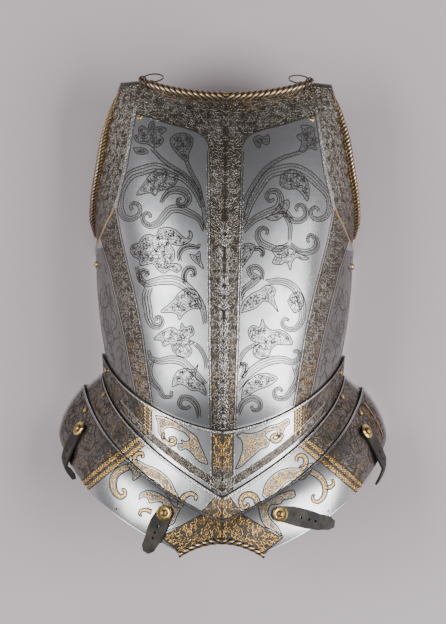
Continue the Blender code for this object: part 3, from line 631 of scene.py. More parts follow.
def skirt_table():
    """Turn and band at the points of a flat grid, found by repeated small corrections (Newton's steps)."""
    x, height = (corner + TABLE_STEP * np.arange(cells) for corner, cells in zip(TABLE_CORNER, TABLE_CELLS))
    x, height = np.meshgrid(x, height)
    turn, band = np.arcsin(np.clip(x / (0.9 * skirt_half_width), -0.95, 0.95)), np.full(x.shape, 1.5)
    for _ in range(14):
        here, below = lame_surface(2, turn, band)[0], lame_surface(2, turn, band + 0.02)[0]
        fall = (below[..., 1] - here[..., 1]) / 0.02
        miss = (height + neck_shift - here[..., 1]) / np.minimum(fall, -0.01)
        band = np.clip(band + 0.7 * miss, -0.2, 3.2)
        turn = np.clip(turn + (x - here[..., 0]) / (0.85 * skirt_half_width * np.cos(turn)), -1.4, 1.4)
    return np.stack([turn, band], axis=-1)


SKIRT_TABLE = skirt_table()


def find_skirt(x, height):
    """Turn and band of points of a drawing seen from the front, between the nearest points of the table."""
    x, height = np.broadcast_arrays(x, height)
    u = np.clip((x - TABLE_CORNER[0]) / TABLE_STEP, 0, TABLE_CELLS[0] - 1.001)
    v = np.clip((height - TABLE_CORNER[1]) / TABLE_STEP, 0, TABLE_CELLS[1] - 1.001)
    i, j = v.astype(int), u.astype(int)
    p, q = (v - i)[..., None], (u - j)[..., None]
    found = ((1 - p) * ((1 - q) * SKIRT_TABLE[i, j] + q * SKIRT_TABLE[i, j + 1])
             + p * ((1 - q) * SKIRT_TABLE[i + 1, j] + q * SKIRT_TABLE[i + 1, j + 1]))
    return found[..., 0], found[..., 1]


def on_lame(number):
    """A drawing seen from the front, on one lame."""
    return lambda x, height: lame_surface(number, *find_skirt(x, height))


def along_lame(number):
    """A drawing along one lame: x is the turn and y the band."""
    return lambda turn, band: lame_surface(number, turn, band)


def on_gusset(side):
    """A drawing along one gusset: x goes from its hidden edge to its arm edge and y from foot to top."""
    return lambda share, up: gusset_surface(side, share, gusset_height(share, up))


# %% Strips and curls
FLAT = ((-1.0, 1.0), (0.0, 0.0))                             # places across a strip, and how raised they are
RAISED = ((-1.0, 0.0, 1.0), (0.0, 1.0, 0.0))
FLAT_OVER = ((-1.0, 1.0), (0.3, 0.3))


def pair(x, y):
    return np.stack([x, y], axis=-1)


class Etching:
    """Strips and patches in one finish, collected into one mesh on one body."""

    def __init__(self, name, body, finish, lift, slot="steel"):
        self.name, self.body, self.finish, self.lift, self.slot = name, body, finish, lift, slot
        self.points, self.faces, self.count = [], [], 0

    def add(self, grid, faces):
        self.points.append(grid.reshape(-1, 3))
        self.faces.append(faces + self.count)
        self.count += grid.size // 3

    def strip(self, place, path, half, shape=FLAT, height=0.00014, inside=None):
        """Strips along paths of shape (..., steps, 2); inside tells which points of a drawing are kept."""
        points, normals = place(path[..., 0], path[..., 1])
        across, raised = np.array(shape)
        side = unit(np.cross(unit(np.gradient(points, axis=-2)), normals))
        offsets = (np.broadcast_to(half, path.shape[:-1])[..., None] * across)[..., None]
        lifts = (self.lift + height * raised)[:, None]
        grid = points[..., None, :] + side[..., None, :] * offsets + normals[..., None, :] * lifts
        steps, wide = grid.shape[-3:-1]
        strips = grid.size // (3 * steps * wide)
        faces = grid_faces(steps, wide) + (np.arange(strips) * steps * wide)[:, None, None]
        if inside is not None:
            kept = inside(path[..., 0], path[..., 1]).reshape(strips, steps)
            faces = faces[np.repeat(kept[:, 1:] & kept[:, :-1], wide - 1, axis=1)]
        self.add(grid, faces.reshape(-1, 4))

    def patch(self, place, x, y, inside=None):
        """A patch over a grid of drawing points."""
        points, normals = place(x, y)
        faces = grid_faces(*points.shape[:2])
        if inside is not None:
            faces = faces[inside(x, y).reshape(-1)[faces].all(axis=1)]
        facing = np.cross(points[0, 1] - points[0, 0], points[1, 0] - points[0, 0]) @ normals[0, 0]
        self.add(points + self.lift * normals, faces if facing > 0 else faces[:, ::-1])

    def make(self):
        """Builds the mesh from the points that its faces use."""
        used, faces = np.unique(np.concatenate(self.faces), return_inverse=True)
        points = np.concatenate(self.points)[used]
        piece = add_mesh(self.name, points, faces.reshape(-1, 4).tolist(), self.body, self.finish)
        print(self.name, len(piece.data.polygons), "faces")
        return piece


def smooth_path(points, steps):
    """A smooth curve through points, evenly spaced."""
    points = np.array(points, float)
    run = np.concatenate([[0], np.cumsum(np.linalg.norm(np.diff(points, axis=0), axis=1))])
    at = np.linspace(0, run[-1], steps)
    return pair(follow(run, points[:, 0], at), follow(run, points[:, 1], at))


def directions(path):
    """Unit vectors along a flat path, and square to it on its left."""
    ahead = unit(np.gradient(path, axis=0))
    return ahead, pair(-ahead[:, 1], ahead[:, 0])


def curves(start, heading, length, bend, steps=12):
    """Paths whose heading is h + L (b0 t + (b1 - b0) t^2 / 2), summed up to places."""
    t = np.linspace(0, 1, steps)
    angle = heading[:, None] + length[:, None] * (bend[:, :1] * t + (bend[:, 1:] - bend[:, :1]) * t**2 / 2)
    step = length[:, None, None] / (steps - 1) * np.stack([np.cos(angle), np.sin(angle)], axis=-1)
    walked = np.cumsum((step[:, 1:] + step[:, :-1]) / 2, axis=1)
    return start[:, None] + np.concatenate([np.zeros_like(walked[:, :1]), walked], axis=1)


def sprays(box, size, seed, mirrored=False, spacing=2.35):
    """Curls with leaflets that fill a box (x from, x to, y from, y to): a list of paths and half widths."""
    rng = np.random.default_rng(seed)
    left, right, low, high = box
    gap = spacing * size
    x, y = np.meshgrid(np.arange(left + gap / 2, right + gap / 2, gap), np.arange(low, high, gap))
    hand = np.where((np.indices(x.shape).sum(0) % 2) == 0, 1.0, -1.0).reshape(-1)
    start = np.stack([x, y], axis=-1).reshape(-1, 2) + rng.uniform(-0.3, 0.3, (x.size, 2)) * size
    heading = rng.uniform(0, 2 * math.pi, x.size)
    if mirrored:
        start = np.concatenate([start, start * (-1, 1)])
        heading, hand = np.concatenate([heading, math.pi - heading]), np.concatenate([hand, -hand])
    ones = np.ones(len(start))
    main = curves(start, heading, ones * 4.6 * size, pair(0.35 * hand, 2.3 * hand) / size)
    taper = size * 0.17 * np.linspace(1, 0.55, 12)
    groups = [(main, taper)]
    for at, angle in ((0, 2.4), (3, -1.0), (6, -1.3)):
        ahead = main[:, at + 1] - main[:, at]
        turned = np.arctan2(ahead[:, 1], ahead[:, 0]) + angle * hand
        leaf = curves(main[:, at], turned, ones * size * 1.25, pair(0.4 * hand, -0.9 * hand) / size, 5)
        groups.append((leaf, size * 0.21 * np.sin(np.linspace(0.5, 3.0, 5))))
    return groups


print("etching tools ready")

# %% [markdown]
# ## The layout of the ornament
#
# A dark band of foliage runs down the ridge and spreads under the neck; two more follow the sides. They
# frame two bright panels with large scrolls and leaves: a scroll has short strokes between its outlines, and
# a leaf is filled with small curls. On the lames these fillings are gold. Places were measured on the
# photograph and are given in millimetres, as seen from the front: across from the middle, and up from the
# waist line's ends.

# %% Layers and fields
# bright_line: polished border lines, and also painted highlight down the medial ridge, on the lames' upper edges
# and on the rims of holes.
field_steel, fine_line, flank_steel, bright_line, side_steel = (
    worked_finish(*row) for row in (
        ("field_steel", (0.33, 0.30, 0.265), (0.19, 0.165, 0.14), (0.40, 0.385, 0.36), 900.0, 0.30),
        ("fine_line", (0.27, 0.265, 0.26), (0.19, 0.185, 0.18), (0.34, 0.335, 0.33), 800.0, 0.34),
        ("flank_steel", (0.27, 0.265, 0.26), (0.18, 0.175, 0.17), (0.36, 0.36, 0.36), 420.0, 0.24),
        ("bright_line", (0.68, 0.66, 0.63), (0.42, 0.40, 0.37), (0.75, 0.74, 0.72), 500.0, 0.24),
        ("side_steel", (0.25, 0.235, 0.22), (0.15, 0.14, 0.13), (0.36, 0.35, 0.335), 420.0, 0.30)))
# The finish of each layer, and its lift over the plate in metres
LAYERS = {
    "ground": (etched_ground, 0.00004), "side": (side_steel, 0.00002), "flank": (flank_steel, 0.00002),
    "field": (field_steel, 0.00006), "foliage": (foliage_steel, 0.00007), "dim_gold": (dim_gold, 0.00008),
    "gold": (gold, 0.00009), "fine": (fine_line, 0.00010), "line": (etched_line, 0.00012),
    # deep is painted shade for the insides of the small holes.
    "bright": (bright_line, 0.00013), "deep": (rope_dark, 0.00024)}
etchings = {}


def layer(body, kind):
    """The etching of one kind on one body."""
    if (body, kind) not in etchings:
        slot = "gilt" if "gold" in kind else "steel"
        etchings[body, kind] = Etching(f"{body}_{kind}", body, *LAYERS[kind], slot)
    return etchings[body, kind]


def spray(body, kind, place, box, size, seed, inside, stroke, shape=FLAT, mirrored=False, spacing=2.35):
    """Draws the sprays of a box, with their widths multiplied by stroke."""
    for path, half in sprays(box, size, seed, mirrored, spacing):
        layer(body, kind).strip(place, path, half * stroke, shape, inside=inside)


def fill(body, kind, place, box, size, seed, inside, mirrored=False):
    """Fills a field with raised sprays; foliage also gets dark lines between its stems."""
    spray(body, kind, place, box, size, seed, inside, 0.84, RAISED, mirrored, 2.0)
    if kind == "foliage":
        spray(body, "line", place, box, size, seed + 100, inside, 0.75, FLAT, mirrored, 2.9)


def draw_lines(body, place, path_of, rows, inside=None):
    """Lines beside one another: path_of gives the path at an offset; rows of offset, layer and half width."""
    for offset, kind, half in rows:
        layer(body, kind).strip(place, path_of(offset), half, inside=inside)


def on_breast(across, height):
    """Across goes from -1 to 1 between the arm edges."""
    return torso_surface(across * arm_turn(height), height)


def curve_of(places, values):
    return lambda at: np.interp(np.abs(at), np.array(places) / 1000, np.array(values) / 1000)


def height_curve(heights, values):
    return lambda at: np.interp(at, np.array(heights) / 1000, np.array(values) / 1000)


neck_field = curve_of((18.8, 20.5, 25, 33, 48, 65, 87.5, 106), (236, 245, 253, 259, 264.5, 269, 277.5, 283))
band_top = 0.2365               # height at which the band down the ridge meets the neck's field
waist_half_width, neck_half_width = 0.1405, 0.103
side_radius = 0.165             # of the body, for drawings that run round it in metres
band_half = height_curve((-86, 8, 122, 235), (13.1, 15.4, 17.2, 19.3))
panel_outer = height_curve((-60, 26, 79, 100, 138, 172), (82, 94.8, 106.5, 112.5, 122, 128.5))
ridge_outer = height_curve((-56, 25, 102, 124, 150), (100, 117, 136, 144, 152))


def arm_x(height):
    return torso_section(height)[0] * np.sin(arm_turn(height))


def waist_at(x):
    """Height of the waist line at a distance from the middle."""
    return waist_height(np.arcsin(np.clip(np.abs(x) / waist_half_width, 0, 0.999)))


def neck_top(x):
    """Height of the foot of the neck's roll at a distance from the middle."""
    top, roll = neck_edge(np.clip(np.abs(x) / neck_half_width, 0, 1))
    return top - 2 * roll


# %% Dark fields of the breastplate
across = np.linspace(-1, 1, 121)
low = np.full(121, 0.27)
for _ in range(40):
    low = 0.5 * low + 0.5 * neck_field(torso_section(low)[0] * np.sin(across * arm_turn(low)))
top, roll = neck_edge(across)
rows = np.linspace(0, 1, 26)[:, None]
height = low + rows * (top - 2 * roll - 0.0004 - low)
layer("breastplate", "ground").patch(on_breast, across + 0 * rows, height)

share, up = np.linspace(-1, 1, 21)[None, :], np.linspace(0, 1, 120)[:, None]
height = -waist_dip + up * (band_top + waist_dip)
x = share * band_half(height)
height = np.maximum(height, waist_at(x) + 0.0006)
layer("breastplate", "ground").patch(on_torso, x, height)
for side in (-1, 1):
    height = -0.058 + up * 0.230
    outer = np.minimum(ridge_outer(height), arm_x(height) - 0.0008)
    x = panel_outer(height) + (share + 1) / 2 * (outer - panel_outer(height))
    height = np.maximum(height, waist_at(x) + 0.0006)
    layer("breastplate", "ground").patch(on_torso, side * x, height)
    height = -0.046 + up * 0.172
    inner = np.arcsin(np.clip(ridge_outer(height) / torso_section(height)[0], 0, 1)) / (math.pi / 2)
    x = inner + (share + 1) / 2 * (0.975 - inner)
    height = np.maximum(height, waist_height(x * math.pi / 2) + 0.0006)
    layer("breastplate", "flank").patch(round_torso, side * x, height)
print("patches of the breastplate:", layer("breastplate", "ground").count, "points")

# %% Foliage and borders of the breastplate
def in_neck(x, h):
    return (h > neck_field(x) + 0.0010) & (h < neck_top(x) - 0.0006) & (np.abs(x) < arm_x(h) - 0.0012)


def in_band(x, h):
    return (np.abs(x) < band_half(h) - 0.0014) & (h > waist_at(x) + 0.0015) & (h < band_top)


def in_ridge(x, h):
    return ((np.abs(x) > panel_outer(h) + 0.0012) & (h < 0.172) & (h > waist_at(x) + 0.0012)
            & (np.abs(x) < np.minimum(ridge_outer(h), arm_x(h)) - 0.0012))


def worn(x, h, share):
    """Patches where gilding is left: two waves across each other rise above a share."""
    return np.sin(x * 410 + 3 * np.sin(h * 230)) * np.sin(h * 370 + 2 * np.sin(x * 190)) > share


fill("breastplate", "foliage", on_torso, (0.0012, 0.108, 0.236, 0.322), 0.0023, 3, in_neck, True)
fill("breastplate", "foliage", on_torso, (0.0010, 0.020, -0.088, 0.238), 0.0027, 5, in_band, True)
fill("breastplate", "foliage", on_torso, (0.080, 0.148, -0.060, 0.172), 0.0023, 7, in_ridge, True)
fill("breastplate", "dim_gold", on_torso, (-0.105, 0.105, 0.255, 0.322), 0.0021, 11,
     lambda x, h: (in_neck(x, h) & (h > neck_top(x) - 0.009 - 0.006 * (x > 0))
                   & worn(x, h, 0.25 - 0.3 * (x > 0))))
fill("breastplate", "dim_gold", on_torso, (-0.015, 0.015, -0.086, -0.008), 0.0021, 12,
     lambda x, h: in_band(x, h) & (h < -0.010) & (np.abs(x) > 0.008) & worn(x, h, 0.1))
# Bright foliage down the middle of the band: painted highlight along the medial ridge.
fill("breastplate", "bright", on_torso, (0.0006, 0.0075, -0.088, 0.150), 0.0024, 14,
     lambda x, h: in_band(x, h) & (np.abs(x) < 0.0062), True)
fill("breastplate", "dim_gold", on_torso, (0.082, 0.148, -0.058, 0.172), 0.0021, 13,
     lambda x, h: in_ridge(x, h) & (h < 0.015) & worn(x, h, -0.1), True)

fine = np.linspace(0, 1, 200)
for side in (-1, 1):
    h = band_top + fine * (waist_at(0.013) + 0.002 - band_top)
    draw_lines("breastplate", on_torso, lambda offset: pair(side * (band_half(h) + offset), h),
               ((0.0, "bright", 0.0006), (-0.0013, "line", 0.0004), (0.0014, "line", 0.00045),
                (0.0024, "bright", 0.00035)))
    x = 0.0190 + fine * 0.086
    draw_lines("breastplate", on_torso,
               lambda offset: smooth_path(pair(side * x, neck_field(x) + offset)[::6], len(fine)),
               ((0.0, "line", 0.0006), (-0.0012, "bright", 0.0004)))
    for edge, top, foot_x, inset in ((panel_outer, 0.172, 0.083, -0.0014),
                                     (ridge_outer, 0.128, 0.101, -0.0013)):
        h = top + fine * (waist_at(foot_x) + 0.0015 - top)
        draw_lines("breastplate", on_torso, lambda offset: pair(side * (edge(h) + offset), h),
                   ((0.0, "bright", 0.0006), (inset, "line", 0.0005), (0.0013, "line", 0.0004)))
    h = 0.1755 + fine * (0.128 - 0.1755)
    draw_lines("breastplate", on_torso, lambda offset: pair(side * (arm_x(h) - offset), h),
               ((0.0012, "gold", 0.0011),))
    h = 0.174 + fine * (0.292 - 0.174)
    draw_lines("breastplate", on_torso, lambda offset: pair(side * (arm_x(h) - offset), h),
               ((0.0023, "bright", 0.0021), (0.0050, "line", 0.0004)))
    # A dark line just above the waist edge: painted shadow in the gap between the breastplate and the first lame.
    turn = fine * 1.5
    draw_lines("breastplate", round_torso,
               lambda offset: pair(side * turn / (math.pi / 2), waist_height(turn) + offset),
               ((0.0007, "line", 0.0008),))
across = np.linspace(-0.97, 0.97, 300)
top, roll = neck_edge(across)
draw_lines("breastplate", on_breast, lambda drop: pair(across, top - 2 * roll - drop),
           ((0.0010, "line", 0.0010), (0.0028, "dim_gold", 0.0008), (0.0042, "line", 0.0004)))


def round_side(x, height):
    """A drawing on the flank in metres: x round the body from the middle."""
    return torso_surface(x / side_radius, height)


def in_flank(x, h):
    return ((torso_section(h)[0] * np.sin(np.abs(x) / side_radius) > ridge_outer(h) + 0.004)
            & (np.abs(x) < 0.245) & (h > waist_height(x / side_radius) + 0.003) & (h < 0.120))


for side in (-1, 1):
    for kind, stroke, shape in (("side", 0.75, FLAT_OVER), ("line", 0.15, FLAT)):
        for path, half in sprays((0.13, 0.26, -0.060, 0.118), 0.0098, 17):
            layer("breastplate", kind).strip(round_side, path * (side, 1), half * stroke, shape,
                                             inside=in_flank)

# %% Tables of the scrolls and leaves
# For a scroll: the drawing it belongs to, its half widths at the start, the middle and the end in steps of
# 1.25 mm, and its places. For a leaf or flower: the drawing and the places of its outline.
WIDTH_STEP = 0.00125
SCROLLS = (
    ("torso", (1.3, 1.6, 1.6), ((-86, 241), (-74, 228), (-61, 218), (-47, 209), (-37, 198), (-29, 186),
     (-24, 166), (-22, 145))),
    ("torso", (1.5, 1.5, 1.2), ((-45, 225), (-38, 209), (-31, 197), (-26, 179))),
    ("torso", (1.6, 4.2, 1.0), ((-26, 171), (-34, 189), (-47, 204), (-64, 212), (-80, 218), (-96, 215),
     (-110, 210), (-118, 200), (-123, 184), (-122, 170), (-116, 160), (-107, 159), (-99, 165), (-100, 174),
     (-106, 177), (-110, 172), (-107, 169))),
    ("torso", (1.2, 3.2, 0.9), ((-74, 176), (-71, 182), (-66, 188), (-55, 191), (-45, 187), (-42, 179),
     (-46, 174), (-53, 174), (-54, 180), (-50, 181))),
    ("torso", (1.6, 3.6, 0.9), ((-23, 144), (-30, 158), (-42, 165), (-52, 169), (-63, 168), (-70, 161),
     (-77, 153), (-87, 150), (-94, 155), (-95, 161), (-90, 165), (-86, 162), (-87, 159))),
    ("torso", (1.2, 2.4, 0.9), ((-51, 109), (-52, 117), (-47, 124), (-38, 126), (-30, 125), (-29, 129))),
    ("torso", (1.2, 4.0, 1.8), ((-102, 103), (-98, 91), (-91, 83), (-81, 85), (-70, 87), (-55, 86),
     (-43, 79), (-32, 68), (-24, 54), (-21, 37))),
    ("torso", (1.4, 2.2, 0.8), ((-91, 82), (-97, 87), (-98, 95), (-93, 98), (-88, 95), (-92, 91))),
    ("torso", (1.4, 2.4, 0.9), ((-44, 83), (-46, 93), (-42, 100), (-36, 100), (-34, 94), (-39, 92))),
    ("torso", (3.6, 3.8, 0.9), ((-87, 79), (-90, 68), (-88, 55), (-86, 43), (-81, 35), (-75, 34),
     (-71, 39), (-73, 44), (-78, 44), (-77, 40))),
    ("torso", (1.4, 1.6, 1.6), ((-33, 15), (-26, 8), (-21, -2), (-19, -14))),
    ("torso", (1.0, 3.4, 1.8), ((-87, 6), (-83, -3), (-74, -6), (-60, -4), (-48, -6), (-39, -13),
     (-29, -22), (-20, -32))),
    ("torso", (2.8, 2.6, 0.9), ((-83, -5), (-86, -17), (-83, -28), (-74, -38), (-68, -47), (-60, -46),
     (-59, -40))),
    ("torso", (1.6, 2.4, 0.9), ((-27, -71), (-31, -55), (-39, -48), (-47, -48), (-50, -56), (-43, -60),
     (-37, -57))),
    ("torso", (1.6, 1.8, 1.4), ((20, 158), (24, 181), (35, 201), (48, 218), (64, 229), (88, 238))),
    ("torso", (1.6, 4.4, 1.0), ((21, 150), (30, 177), (40, 196), (50, 210), (65, 216), (80, 218),
     (96, 212), (110, 200), (120, 190), (123, 178), (119, 165), (110, 160), (102, 162), (100, 170),
     (105, 174), (110, 170))),
    ("torso", (1.8, 3.4, 0.9), ((21, 143), (32, 156), (48, 165), (61, 172), (64, 183), (60, 190),
     (51, 190), (48, 183), (52, 179), (57, 182))),
    ("torso", (2.8, 2.6, 0.9), ((63, 170), (71, 165), (78, 158), (88, 158), (94, 164), (93, 172),
     (87, 176), (82, 172), (84, 168))),
    ("torso", (1.5, 1.8, 1.4), ((68, 166), (75, 152), (75, 134))),
    ("torso", (1.6, 3.0, 0.9), ((74, 130), (62, 124), (50, 127), (41, 132), (38, 142), (43, 148),
     (49, 145), (48, 140))),
    ("torso", (1.6, 2.8, 0.9), ((75, 130), (87, 122), (99, 122), (107, 128), (106, 137), (99, 141),
     (96, 136), (98, 132))),
    ("torso", (1.2, 2.0, 1.0), ((33, 123), (40, 124), (44, 120), (42, 114))),
    ("torso", (1.6, 2.8, 1.2), ((18, 64), (22, 76), (32, 84), (37, 90), (31, 94), (29, 100), (36, 103),
     (43, 98), (43, 88))),
    ("torso", (2.4, 3.4, 0.9), ((47, 85), (64, 87), (78, 82), (87, 70), (91, 54), (88, 39), (81, 32),
     (72, 33), (67, 38), (70, 44), (75, 42))),
    ("torso", (1.4, 1.6, 1.6), ((39, 16), (26, 8), (18, -4), (15, -17))),
    ("torso", (1.8, 3.8, 0.9), ((16, -38), (24, -25), (36, -13), (52, -5), (68, -3), (81, -6), (88, 1),
     (85, 7), (80, 6))),
    ("torso", (1.4, 2.0, 0.9), ((20, -24), (25, -15), (25, -9), (21, -8), (20, -13))),
    ("torso", (2.6, 2.6, 0.9), ((82, -10), (86, -23), (79, -38), (69, -48), (60, -46), (59, -39),
     (65, -36), (68, -40))),
    ("torso", (1.6, 2.6, 0.9), ((17, -66), (23, -52), (34, -47), (42, -52), (42, -59), (35, -61),
     (32, -56))),
    ("skirt", (1.6, 2.0, 0.8), ((-70, -88), (-69, -96), (-63, -101), (-57, -101), (-55, -97), (-58, -94),
     (-62, -95), (-61, -98))),
    ("skirt", (2.4, 2.2, 0.8), ((-101, -124), (-102, -118), (-98, -114), (-93, -114), (-92, -117),
     (-95, -118))),
    ("skirt", (2.6, 3.6, 1.0), ((-105, -129), (-113, -132), (-120, -136), (-125, -144), (-125, -154),
     (-121, -161), (-116, -164), (-111, -160), (-112, -156), (-116, -156))),
    ("skirt", (2.6, 2.4, 1.0), ((-48, -172), (-46, -164), (-40, -158), (-35, -157), (-30, -160),
     (-31, -165))),
    ("skirt", (2.0, 1.6, 0.8), ((-80, -179), (-87, -177), (-93, -179), (-94, -182), (-91, -184))),
    ("skirt", (1.8, 2.0, 0.8), ((70, -88), (66, -95), (61, -97), (57, -94), (59, -90), (63, -89),
     (64, -92))),
    ("skirt", (2.6, 2.4, 0.9), ((90, -130), (96, -124), (96, -118), (92, -114), (87, -115), (85, -118),
     (88, -120))),
    ("skirt", (2.8, 2.6, 0.9), ((102, -133), (110, -138), (116, -145), (118, -153), (115, -163),
     (109, -167), (104, -165), (103, -161), (106, -159))),
    ("skirt", (2.0, 1.8, 0.8), ((118, -151), (124, -151), (128, -147), (126, -142))),
    ("skirt", (2.8, 2.6, 0.9), ((41, -167), (37, -160), (30, -157), (24, -159), (21, -165), (23, -171),
     (27, -172), (30, -169), (27, -167))),
)
LEAVES = (
    ("torso", ((-46, 224), (-55, 233), (-62, 242), (-64, 251), (-59, 256), (-51, 258), (-43, 256),
     (-38, 251), (-39, 242), (-42, 235), (-44, 225))),
    ("torso", ((-85, 242), (-91, 246), (-99, 247), (-106, 252), (-107, 256), (-101, 258), (-102, 264),
     (-98, 268), (-91, 264), (-89, 270), (-85, 273), (-82, 266), (-75, 266), (-69, 263), (-72, 259),
     (-76, 256), (-72, 251), (-74, 246), (-80, 242))),
    ("torso", ((-108, 242), (-101, 242), (-93, 240), (-90, 236), (-96, 234), (-104, 236))),
    ("torso", ((-54, 208), (-64, 213), (-74, 216), (-84, 213), (-92, 203), (-102, 186), (-92, 188),
     (-85, 188), (-81, 185), (-78, 189), (-69, 192), (-58, 197))),
    ("torso", ((-76, 146), (-68, 148), (-57, 145), (-50, 139), (-44, 135), (-40, 139), (-41, 144),
     (-38, 142), (-38, 134), (-44, 129), (-53, 127), (-62, 128), (-58, 121), (-58, 111), (-62, 106),
     (-54, 106), (-49, 101), (-54, 96), (-62, 99), (-70, 95), (-76, 99), (-83, 106), (-90, 105),
     (-97, 104), (-99, 111), (-106, 115), (-110, 122), (-107, 128), (-100, 130), (-96, 136), (-87, 140),
     (-80, 138))),
    ("torso", ((-40, 117), (-33, 116), (-29, 120), (-27, 110), (-24, 100), (-30, 105), (-36, 110))),
    ("torso", ((-30, 73), (-41, 78), (-51, 73), (-58, 64), (-72, 50), (-62, 50), (-54, 48), (-51, 42),
     (-46, 48), (-37, 54), (-27, 55))),
    ("torso", ((-33, 16), (-40, 20), (-34, 26), (-37, 35), (-44, 33), (-48, 38), (-51, 29), (-59, 33),
     (-68, 30), (-75, 25), (-80, 19), (-72, 17), (-69, 11), (-61, 14), (-58, 6), (-50, 0), (-40, 0),
     (-36, 7), (-39, 12))),
    ("torso", ((-29, -9), (-34, -15), (-44, -14), (-52, -17), (-57, -25), (-58, -35), (-50, -32),
     (-43, -34), (-36, -39), (-29, -39), (-20, -44), (-23, -31), (-31, -26))),
    ("torso", ((64, 209), (75, 217), (88, 213), (96, 203), (95, 181), (89, 189), (83, 194), (72, 194),
     (64, 198))),
    ("torso", ((85, 239), (89, 249), (83, 257), (90, 262), (88, 269), (97, 270), (104, 267), (104, 258),
     (110, 253), (105, 247), (107, 242), (97, 243), (91, 238))),
    ("torso", ((35, 244), (32, 251), (38, 256), (45, 254), (49, 257), (51, 250), (48, 245), (42, 247),
     (39, 241))),
    ("torso", ((54, 122), (62, 128), (75, 125), (89, 118), (98, 114), (91, 112), (83, 115), (78, 109),
     (76, 100), (71, 109), (64, 106), (55, 108), (58, 116))),
    ("torso", ((61, 173), (68, 180), (73, 181), (74, 173), (71, 167), (78, 160), (68, 162), (59, 157),
     (48, 159), (55, 165))),
    ("torso", ((20, 102), (17, 116), (20, 127), (27, 130), (35, 127), (32, 119), (26, 110))),
    ("torso", ((17, 50), (22, 63), (30, 71), (41, 77), (49, 82), (59, 77), (57, 69), (62, 52), (54, 61),
     (46, 64), (36, 56), (26, 52))),
    ("torso", ((73, 64), (78, 72), (86, 75), (92, 65), (87, 54), (82, 51), (77, 56))),
    ("torso", ((42, 16), (31, 20), (28, 30), (33, 36), (40, 34), (44, 43), (48, 35), (54, 31), (65, 31),
     (76, 24), (79, 15), (70, 14), (60, 14), (55, 9), (51, 1), (42, -2), (34, 4), (35, 12))),
    ("torso", ((21, -49), (23, -34), (31, -25), (42, -19), (55, -20), (62, -24), (52, -33), (39, -38),
     (29, -44))),
    ("skirt", ((-79, -69), (-68, -71), (-54, -77), (-42, -84), (-31, -92), (-26, -102), (-21, -113),
     (-18, -123), (-23, -122), (-31, -117), (-36, -111), (-44, -106), (-49, -108), (-52, -105),
     (-51, -100), (-47, -101), (-48, -96), (-44, -98), (-39, -96), (-44, -88), (-52, -85), (-62, -82),
     (-68, -84), (-70, -91), (-68, -96), (-75, -89), (-76, -79))),
    ("skirt", ((-108, -124), (-102, -121), (-97, -122), (-89, -126), (-77, -130), (-67, -136), (-59, -144),
     (-54, -154), (-49, -166), (-56, -167), (-61, -163), (-67, -154), (-74, -146), (-84, -141),
     (-92, -138), (-96, -141), (-102, -145), (-103, -136), (-109, -129))),
    ("skirt", ((-95, -166), (-94, -160), (-88, -156), (-79, -156), (-69, -160), (-61, -165), (-53, -173),
     (-48, -174), (-51, -182), (-55, -191), (-63, -195), (-62, -185), (-64, -175), (-69, -168),
     (-77, -168), (-82, -169), (-86, -163), (-91, -163))),
    ("skirt", ((16, -90), (23, -87), (29, -88), (37, -87), (44, -85), (53, -80), (65, -77), (77, -72),
     (78, -76), (73, -81), (70, -88), (65, -93), (64, -90), (64, -85), (56, -85), (49, -90), (54, -96),
     (53, -102), (44, -106), (37, -112), (28, -120), (22, -125), (16, -128), (20, -117), (23, -105),
     (22, -96))),
    ("skirt", ((46, -159), (48, -149), (55, -138), (65, -131), (77, -128), (90, -128), (98, -124),
     (106, -124), (104, -129), (98, -137), (92, -142), (84, -142), (74, -144), (66, -152), (59, -158),
     (50, -162))),
    ("skirt", ((50, -166), (60, -160), (71, -156), (82, -154), (83, -160), (76, -163), (70, -164),
     (66, -168), (55, -170), (52, -177), (55, -185), (63, -194), (68, -204), (58, -198), (48, -192),
     (44, -185), (42, -176), (41, -168))),
)


# %% Scrolls and leaves
def contains(outline, x, y):
    """Which points lie inside a closed outline: those whose ray crosses it an odd number of times."""
    inside = np.zeros(x.shape, bool)
    for (x0, y0), (x1, y1) in zip(outline, np.roll(outline, -1, axis=0)):
        crosses = (y0 > y) != (y1 > y)
        inside ^= crosses & (x < x0 + (y - y0) * (x1 - x0) / (y1 - y0 + 1e-12))
    return inside


def lame_span(number, x, height):
    """Where points of a drawing lie on a lame: a hair inside its upper and lower visible edges."""
    turn, band = find_skirt(x, height)
    return (band > number - 0.985) & (band < number - 0.012 + 0.03 * (number == 3))


def on_span(number):
    return lambda x, height: lame_span(number, x, height)


def fields(name, points):
    """The bodies and place functions of a motif: the breastplate, or each lame that it lies on."""
    if name == "torso":
        yield "breastplate", on_torso, None
        return
    bands = find_skirt(*(np.array(points, float).T / 1000))[1]
    first, last = (int(np.clip(np.floor(band), 0, 2)) + 1 for band in (bands.min(), bands.max()))
    for number in range(first, last + 1):
        yield f"lame_{number}", on_lame(number), on_span(number)


def draw_scroll(name, halves, points):
    """A stem or spiral: a body between two outlines, with lines or small strokes inside it."""
    for body, place, shown in fields(name, points):
        path = smooth_path(np.array(points) / 1000, 14 * len(points))
        steps = len(path)
        half = follow(np.array([0, 0.4, 1.0]), np.array(halves) * WIDTH_STEP, np.linspace(0, 1, steps))
        if name == "skirt":
            layer(body, "field").strip(place, path, half, inside=shown)
        ahead, square = directions(path)
        outlines = [(0.0, "line", 0.00060)]
        if name == "torso" and halves[1] > 2.3:
            outlines.append((0.0014, "fine", 0.00026))
        for side in (-1, 1):
            draw_lines(body, place, lambda inset: path + side * (half[:, None] - inset) * square, outlines, shown)
        picks = np.arange(3, steps - 3, 2)
        slant = np.where(picks % 4 < 2, 1.0, -1.0)
        start = path[picks] - (half[picks] * 0.45 * slant)[:, None] * square[picks]
        heading = np.arctan2(ahead[picks, 1], ahead[picks, 0]) + 0.75 * slant
        dashes = curves(start, heading, half[picks] * 1.05, pair(-300 * slant, -300 * slant), 4)
        kind, wide = ("line", 0.0015) if name == "torso" else ("gold", 0.0014)
        layer(body, kind).strip(place, dashes[half[picks] > wide], 0.00045, inside=shown)


